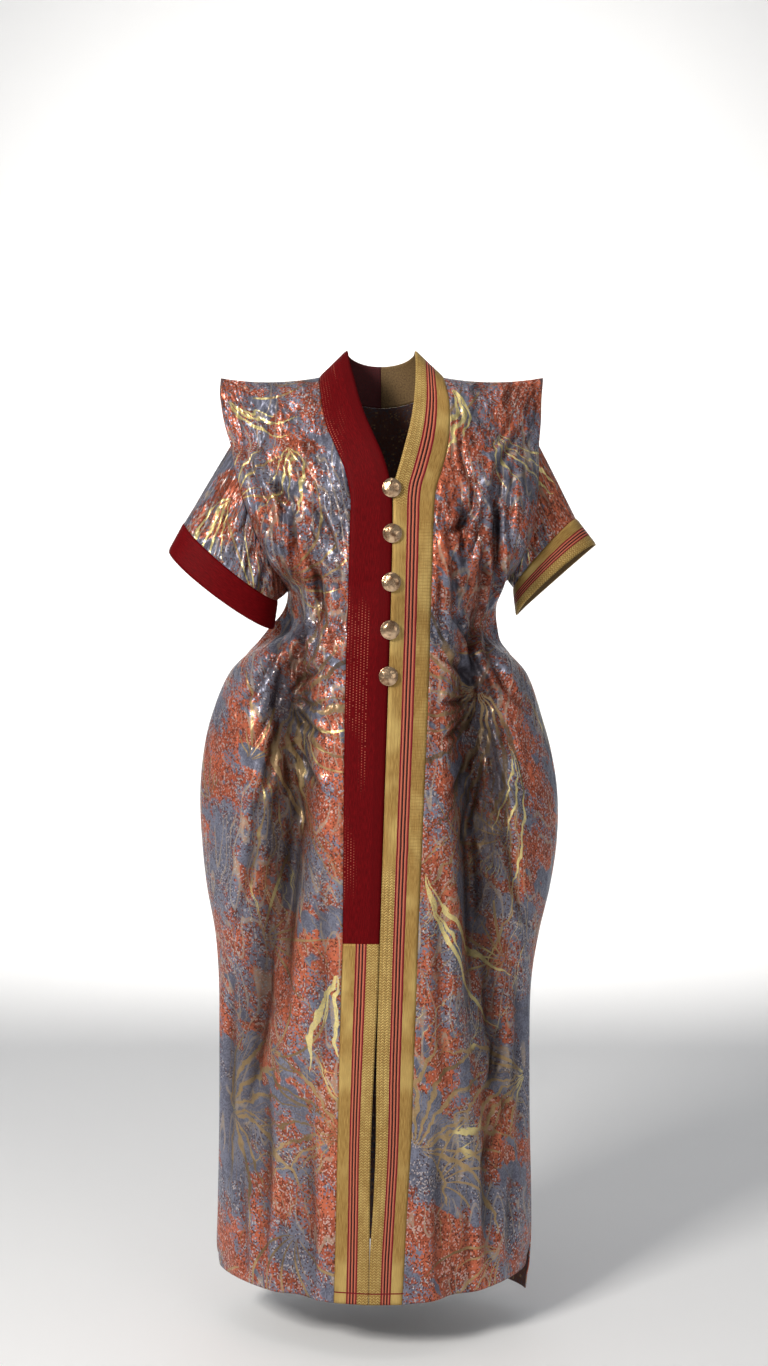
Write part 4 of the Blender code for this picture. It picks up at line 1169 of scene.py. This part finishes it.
def brocade(name, sprays, shift):
    """Slate and rust brocade, speckled by its weave, with sprays of gold thread; the threads' glints
    and the shade in its folds are painted.
    """
    cloth = Cloth(name)
    # weave: cells of a thread or two, in clusters, in patches with ragged edges
    column = (cloth.u * THREADS_ACROSS).whole()
    row = (cloth.v * THREADS_DOWN + column * 0.5).whole()
    luck = cloth.chance(cloth.place(column, row))
    ragged = cloth.place(column / THREADS_ACROSS, row / THREADS_DOWN)
    cell = cloth.place(column / THREADS_ACROSS, row / CLUSTERS_DOWN)
    patch = cloth.noise(ragged, 8.5, 3.0, 0.62, shift)
    cluster = cloth.noise(cell, 170.0, 1.0, 0.5, 3.1)
    broad = cloth.noise(cell, 30.0, 2.0, 0.6, 5.3 + shift)
    mottle = (patch - 0.5) * 3.2 + (cluster - 0.5) * 1.2 + (broad - 0.5) * 1.1
    # the large fans low on the skirt lie on plain slate
    halo = None
    for spray in (row for row in sprays if row.tone == 0 and row.widest > 0.008):
        aside, below = cloth.u - spray.u, cloth.v + spray.level
        near = ((aside * aside + below * below) * -60.0 + 1.0).most(0.0)
        halo = near if halo is None else halo.most(near)
    rust = (mottle + (luck - 0.5) * 0.55 - halo * 0.45).ramp(-0.16, 0.0)
    plain = cloth.noise(ragged, 10.0, 3.0, 0.66, 7.7 + shift) + halo * 0.10
    plain = plain.ramp(0.57, 0.585) * (patch - 0.60).over(0.0).invert()
    rust = rust * plain.invert()
    tone = (broad * 0.7 + luck * 0.3).ramp(0.38, 0.62)
    colour = cloth.mix(rust, cloth.mix(tone, SLATE, SLATE_DEEP), cloth.mix(tone, RUST, RUST_DEEP))
    busy = plain.invert()
    brown = (luck + (cluster - 0.5) * 0.9).ramp(0.80, 0.92) * busy
    colour = cloth.mix(brown * 0.75, colour, BROWN)
    # silver flecks: silver thread of the weave, made lighter by a painted glint
    silver_glints = (luck.invert() + (broad - 0.5) * 0.8 - (cluster - 0.5) * 0.6).ramp(0.84, 0.94) * busy
    colour = cloth.mix(silver_glints * 0.60, colour, SILVER_GLINT)
    # gold thread: listed sprays, scattered ones, and fine wandering strands
    across, up = cloth.u + (patch - 0.5) * 0.07, cloth.v + (broad - 0.5) * 0.03
    tones = {0: scattered_fans(cloth, 3.9, 0.200, shift)}
    for number, spray in enumerate(sprays):
        mask = spray_mask(cloth, across, up, spray, number)
        tones[spray.tone] = tones[spray.tone].most(mask) if spray.tone in tones else mask
    gold, dark, glint_sprays = tones[0], tones[-1], tones[1]
    wander = cloth.noise(cloth.place(cloth.u, cloth.v * 0.30), 12.0, 2.0, 0.5, 2.9 + shift)
    lines = ((wander * 15.0).part() - 0.5).size().ramp(0.04, 0.12).invert()
    shine = cloth.noise(cloth.flat, 8.0, 2.0, 0.6, 4.4 + shift)
    lines = lines * shine.ramp(0.46, 0.50) * (luck + 0.35).least(1.0)
    # painted light on the gold thread: a painted glint where shine is high, painted shade where it
    # is low
    thread = cloth.mix(shine.ramp(0.58, 0.62), OLD_GOLD, GLINT_GOLD)
    thread = cloth.mix(shine.ramp(0.38, 0.41).invert() * 0.6, thread, SHADED_THREAD)
    colour = cloth.mix(lines * 0.70, colour, PALE_THREAD)
    colour = cloth.mix(gold * 0.90, colour, thread)
    # tone 1 sprays: gold thread with a painted glint
    colour = cloth.mix(glint_sprays * (luck * 0.4 + 0.7).least(1.0), colour, GLINT_GOLD)
    # painted shade: the cloth is painted browner and darker down in its folds and in the small
    # hollows of its crumple bump
    crumple = cloth.noise(cloth.place(cloth.u * 1.9, cloth.v * 0.9), 20.0, 2.0, 0.55, 6.1)
    calm = (cloth.v * -1.0).ramp(0.30, 0.80).invert() * 0.75 + 0.25
    shade = (cloth.fold_depth() * 0.78).most(crumple.ramp(0.40, 0.56).invert() * calm * 0.36)
    colour = cloth.mix(shade, colour, FOLD_SHADE)
    # tone -1 sprays: gold thread painted dark as thread in shade, laid over the painted fold shade
    shaded_blade_colour = cloth.mix(shine.ramp(0.44, 0.66) * 0.6, SHADED_THREAD, OLD_GOLD)
    colour = cloth.mix(dark * 0.8, colour, shaded_blade_colour)
    fine = cloth.bump(luck, 0.0007, 0.8)
    normal = cloth.bump(crumple * calm, 0.030, 0.9, fine)
    return cloth.set(
        Base_Color=colour, Roughness=luck * 0.22 + 0.29, Normal=normal,
        Metallic=((gold + glint_sprays) * 0.3 + silver_glints * 0.25 + 0.38).least(0.8), Specular_IOR_Level=0.3,
    )


def brocade_reverse():
    """The wrong side of the brocade: dull, dark and flecked with the threads behind."""
    cloth = Cloth("brocade_reverse")
    column = (cloth.u * 430.0).whole()
    row = (cloth.v * 330.0).whole()
    luck = cloth.chance(cloth.place(column, row))
    patch = cloth.noise(cloth.place(cloth.u, cloth.v * 0.7), 11.0, 3.0, 0.62)
    colour = cloth.mix((patch + luck * 0.3).ramp(0.5, 0.75), lit(70, 62, 70), lit(92, 54, 44))
    colour = cloth.mix(luck.ramp(0.9, 1.0) * 0.5, colour, OLD_GOLD)
    return cloth.set(
        Base_Color=colour, Roughness=luck * 0.15 + 0.7, Normal=cloth.bump(luck, 0.0006, 0.6)
    )


def crimson_braid(name, with_stitches):
    """Crimson braid, finely ribbed, with columns of tiny light stitches by its seam."""
    cloth = Cloth(name)
    share, v = cloth.u, cloth.v
    slub = cloth.noise(cloth.place(share * 0.06, v * 0.1), 900.0, 2.0, 0.6)
    colour = cloth.mix(slub.ramp(0.3, 0.75), CRIMSON_DARK, CRIMSON)
    height = slub * 0.4 + (v * 620.0).part().work("PINGPONG", 0.5) * 0.3
    if with_stitches:
        strip = share.ramp(0.70, 0.74)
        colour = cloth.mix(strip * 0.55, colour, CRIMSON_DARK)
        columns = (share * STITCH_COLUMNS).part() - 0.5
        rows = (v * STITCH_ROWS + (share * STITCH_COLUMNS).whole() * 0.5).part() - 0.5
        luck = cloth.chance(cloth.place((share * STITCH_COLUMNS).whole(), (v * STITCH_ROWS).whole()))
        zone = cloth.noise(cloth.place(share * 0.12, v * 0.35), 16.0, 1.0, 0.5, 2.0)
        upper = (v + 0.10).ramp(-0.06, 0.04)
        middle = ((v + 0.60).size() - 0.24).ramp(-0.20, 0.14).invert()
        zone = (zone + upper * 0.25 + middle * 0.22).ramp(0.58, 0.74)
        dot = columns.size().under(0.17) * rows.size().under(0.20)
        dot = dot * luck.over(0.12) * share.under(0.56) * zone
        colour = cloth.mix(dot * 0.60, colour, lit(196, 104, 84))
        height = height + dot * 0.5
        seam = (share - 0.05).size().under(0.008) + (share - 0.95).size().under(0.008)
        height = height - seam * 0.5
    return cloth.set(
        Base_Color=colour, Roughness=slub * 0.2 + 0.5, Normal=cloth.bump(height, 0.0007, 0.7),
        Specular_IOR_Level=0.06,
    )


def gold_braid():
    """Gold braid in three strips: smooth, striped with dark red and salmon, and braided."""
    cloth = Cloth("gold_braid")
    share, v = cloth.u, cloth.v
    slub = cloth.noise(cloth.place(share * 0.06, v * 0.05), 1300.0, 2.0, 0.6)
    drift = cloth.noise(cloth.place(share * 0.1, v), 14.0, 2.0, 0.5, 3.3)
    gold = cloth.mix(slub.ramp(0.3, 0.72), GOLD_DARK, GOLD)
    gold = cloth.mix(drift.ramp(0.45, 0.72) * 0.5, gold, GOLD_LIGHT)
    ripple = cloth.noise(cloth.place(share * 0.02, v), 60.0, 1.0, 0.5, 1.1)
    place = (share - 0.355 + (ripple - 0.5) * 0.012) / (0.305 / 7)
    inside = place.over(0.0) * place.under(7.0)
    stripe = place.whole()
    odd = ((stripe * 0.5).part() * 2.0).over(0.5)
    black = ((stripe - 2.0).size().under(0.5) + (stripe - 4.0).size().under(0.5)).least(1.0)
    striped = cloth.mix(black, DARK_RED, BLACK_BROWN)
    striped = cloth.mix(odd, striped, SALMON)
    colour = cloth.mix(inside, gold, striped)
    # the free edge's strip is braided round the neck and again low down
    inner = share.over(0.66)
    level = v * -1.0
    braided = (level.ramp(0.19, 0.22).invert() + level.ramp(0.72, 0.78)).least(1.0) * inner
    strand = (share * STRANDS).part()
    chevron = (v * STITCH_ROWS + (strand - 0.5).size() * 1.5).part()
    knots = (chevron - 0.5).size().ramp(0.10, 0.45).least((strand * 6.0).least(1.0))
    knot_luck = cloth.chance(cloth.place((share * STRANDS).whole(), (v * STITCH_ROWS).whole()))
    colour = cloth.mix(knots * braided * (knot_luck * 0.5 + 0.3), colour, GOLD_LIGHT)
    colour = cloth.mix(knots.invert() * braided * 0.5, colour, GOLD_DARK)
    outer = share.under(0.34)
    ladder_zone = (level.ramp(0.22, 0.24) * level.ramp(0.72, 0.76).invert()) * outer
    rung = (v * 205.0).part().work("PINGPONG", 0.5) * 2.0
    rail = (share * STRANDS).part().work("PINGPONG", 0.5) * 2.0
    dark = (rung.ramp(0.0, 0.35).invert() + rail.ramp(0.0, 0.16).invert()).least(1.0)
    colour = cloth.mix(dark * ladder_zone * 0.55, colour, GOLD_DARK)
    line = ((share * 11.8).part() - 0.5).size().ramp(0.02, 0.10).invert()
    lines = line * inner * braided.invert() * 0.5
    colour = cloth.mix(lines, colour, GOLD_DARK)
    thread = (v + HEM_LEVEL - HEM_DEPTH).size().under(0.0009)
    colour = cloth.mix(thread, colour, DARK_RED)
    raised = inside * (place.part() - 0.5).size().ramp(0.25, 0.5).invert()
    height = slub * 0.25 + raised * 0.8 + knots * braided * 0.9
    height = height + rung * ladder_zone * 0.8 - lines * 0.5 + (v * 900.0).part() * 0.12
    metal = inside.invert() * 0.35
    return cloth.set(
        Base_Color=colour, Roughness=slub * 0.2 + 0.38, Metallic=metal,
        Normal=cloth.bump(height, 0.0009, 0.75), Specular_IOR_Level=0.2,
    )


def braid_reverse(name, dark, light):
    """The plain facing behind a band."""
    cloth = Cloth(name)
    weave = (cloth.v * 800.0).part().work("PINGPONG", 0.5)
    slub = cloth.noise(cloth.place(cloth.u * 0.06, cloth.v), 420.0, 2.0, 0.6)
    colour = cloth.mix(slub.ramp(0.3, 0.7), dark, light)
    return cloth.set(
        Base_Color=colour, Roughness=slub * 0.2 + 0.65,
        Normal=cloth.bump(weave + slub, 0.0005, 0.6),
    )


def hammered_metal():
    """Antique metal with shallow hammer marks, darker in the hollows."""
    cloth = Cloth("hammered_metal", use_object=True)
    marks = cloth.cells(cloth.flat, 80.0)
    grain = cloth.noise(cloth.flat, 500.0, 3.0, 0.6)
    worn = cloth.noise(cloth.flat, 110.0, 2.0, 0.55, 2.2)
    tarnish = (worn + grain * 0.15).ramp(0.42, 0.82)
    colour = cloth.mix(tarnish, lit(204, 174, 142), lit(120, 90, 68))
    height = marks * 0.8 + grain * 0.04 + worn * 0.5
    return cloth.set(
        Base_Color=colour, Metallic=1.0, Roughness=tarnish * 0.16 + 0.18,
        Normal=cloth.bump(height, 0.0030, 0.7),
    )


def plain_studio():
    """Pale floor that sweeps up behind, soft lights and the picture's camera."""
    builder = bmesh.new()
    bmesh.ops.create_grid(builder, x_segments=24, y_segments=96, size=1.0)
    for corner in builder.verts:
        x, y = corner.co.x * 12.0, corner.co.y * 12.0
        back = max(y - SWEEP_START, 0.0)
        turn = min(back / SWEEP_RADIUS, math.pi / 2)
        rest = max(back - SWEEP_RADIUS * math.pi / 2, 0.0)
        corner.co = Vector((
            x,
            min(y, SWEEP_START) + SWEEP_RADIUS * math.sin(turn),
            FLOOR + SWEEP_RADIUS * (1 - math.cos(turn)) + rest,
        ))
    floor = finished(builder, "floor")
    paper = bpy.data.materials.new("pale_floor")
    paper.use_nodes = True
    shader = paper.node_tree.nodes["Principled BSDF"]
    shader.inputs["Base Color"].default_value = (0.90, 0.92, 0.95, 1.0)
    shader.inputs["Roughness"].default_value = 0.9
    floor.data.materials.append(paper)

    world = bpy.data.worlds.new("pale_studio")
    world.use_nodes = True
    world.node_tree.nodes["Background"].inputs["Color"].default_value = (1.0, 1.0, 1.0, 1.0)
    world.node_tree.nodes["Background"].inputs["Strength"].default_value = WORLD_STRENGTH
    bpy.context.scene.world = world
    for lamp in LAMPS + (BACKDROP_LAMP,):
        light = bpy.data.lights.new(lamp.name, "AREA")
        light.energy = lamp.power
        light.color = LAMP_COLOUR
        light.size = lamp.size
        holder = placed(lamp.name, light)
        holder.location = (lamp.x, lamp.y, lamp.z)
        aim = Vector(BACKDROP_AIM if lamp is BACKDROP_LAMP else ROBE_MIDDLE)
        aim -= holder.location
        holder.rotation_euler = aim.to_track_quat("-Z", "Y").to_euler()

    camera = bpy.data.cameras.new("camera")
    camera.sensor_fit = "VERTICAL"
    camera.sensor_height = 36.0
    camera.lens = CAMERA_FOCUS_PIXELS / PICTURE_HEIGHT * 36.0
    viewer = placed("camera", camera)
    viewer.location = (CAMERA_X, -CAMERA_DISTANCE, CAMERA_Z)
    viewer.rotation_euler = (math.pi / 2, 0.0, 0.0)
    bpy.context.scene.camera = viewer


def dress(piece, finish, reverse_finish, slot_name, *rests_on):
    """Give a piece its finishes, hide the solid that it replaces, and hang it from the root."""
    piece.data.materials.append(finish)
    piece.data.materials.append(reverse_finish)
    node = piece.name.removesuffix("_cloth")
    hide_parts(node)
    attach(piece, "root")


right_brocade = brocade("brocade_right", RIGHT_SPRAYS, 0.0)
left_brocade = brocade("brocade_left", LEFT_SPRAYS, 4.3)
back_brocade = brocade("brocade_back", BACK_SPRAYS, 9.1)
reverse = brocade_reverse()
crimson = crimson_braid("crimson_braid", True)
crimson_cuff = crimson_braid("crimson_cuff", False)
crimson_reverse = braid_reverse("crimson_reverse", lit(60, 8, 14), lit(84, 14, 22))
gold = gold_braid()
gold_reverse = braid_reverse("gold_reverse", lit(90, 68, 40), lit(122, 96, 58))
metal = hammered_metal()

dress(back_piece(), back_brocade, reverse, "brocade", "front_right_cloth")
for side, finish in (("right", right_brocade), ("left", left_brocade)):
    front = "front_%s_cloth" % side
    dress(front_piece(side), finish, reverse, "brocade", "back_cloth")
    dress(sleeve_piece(side), finish, reverse, "brocade", front, "back_cloth")
dress(band_piece("band_red", "right", 0.0, RED_END_LEVEL, True),
      crimson, crimson_reverse, "crimson_braid", "front_right_cloth")
dress(band_piece("band_gold", "left", 0.0, HEM_LEVEL, True),
      gold, gold_reverse, "gold_braid", "front_left_cloth")
dress(band_piece("band_gold_lower", "right", RED_END_LEVEL, HEM_LEVEL, False),
      gold, gold_reverse, "gold_braid", "front_right_cloth")
dress(cuff_piece("right"), crimson_cuff, crimson_reverse, "crimson_braid", "sleeve_right_cloth")
dress(cuff_piece("left"), gold, gold_reverse, "gold_braid", "sleeve_left_cloth")
for number in range(1, BUTTONS + 1):
    button = button_piece(number)
    button.data.materials.append(metal)
    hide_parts("button_%d" % number)
    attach(button, "root")

plain_studio()
bpy.context.scene.view_settings.view_transform = "Standard"
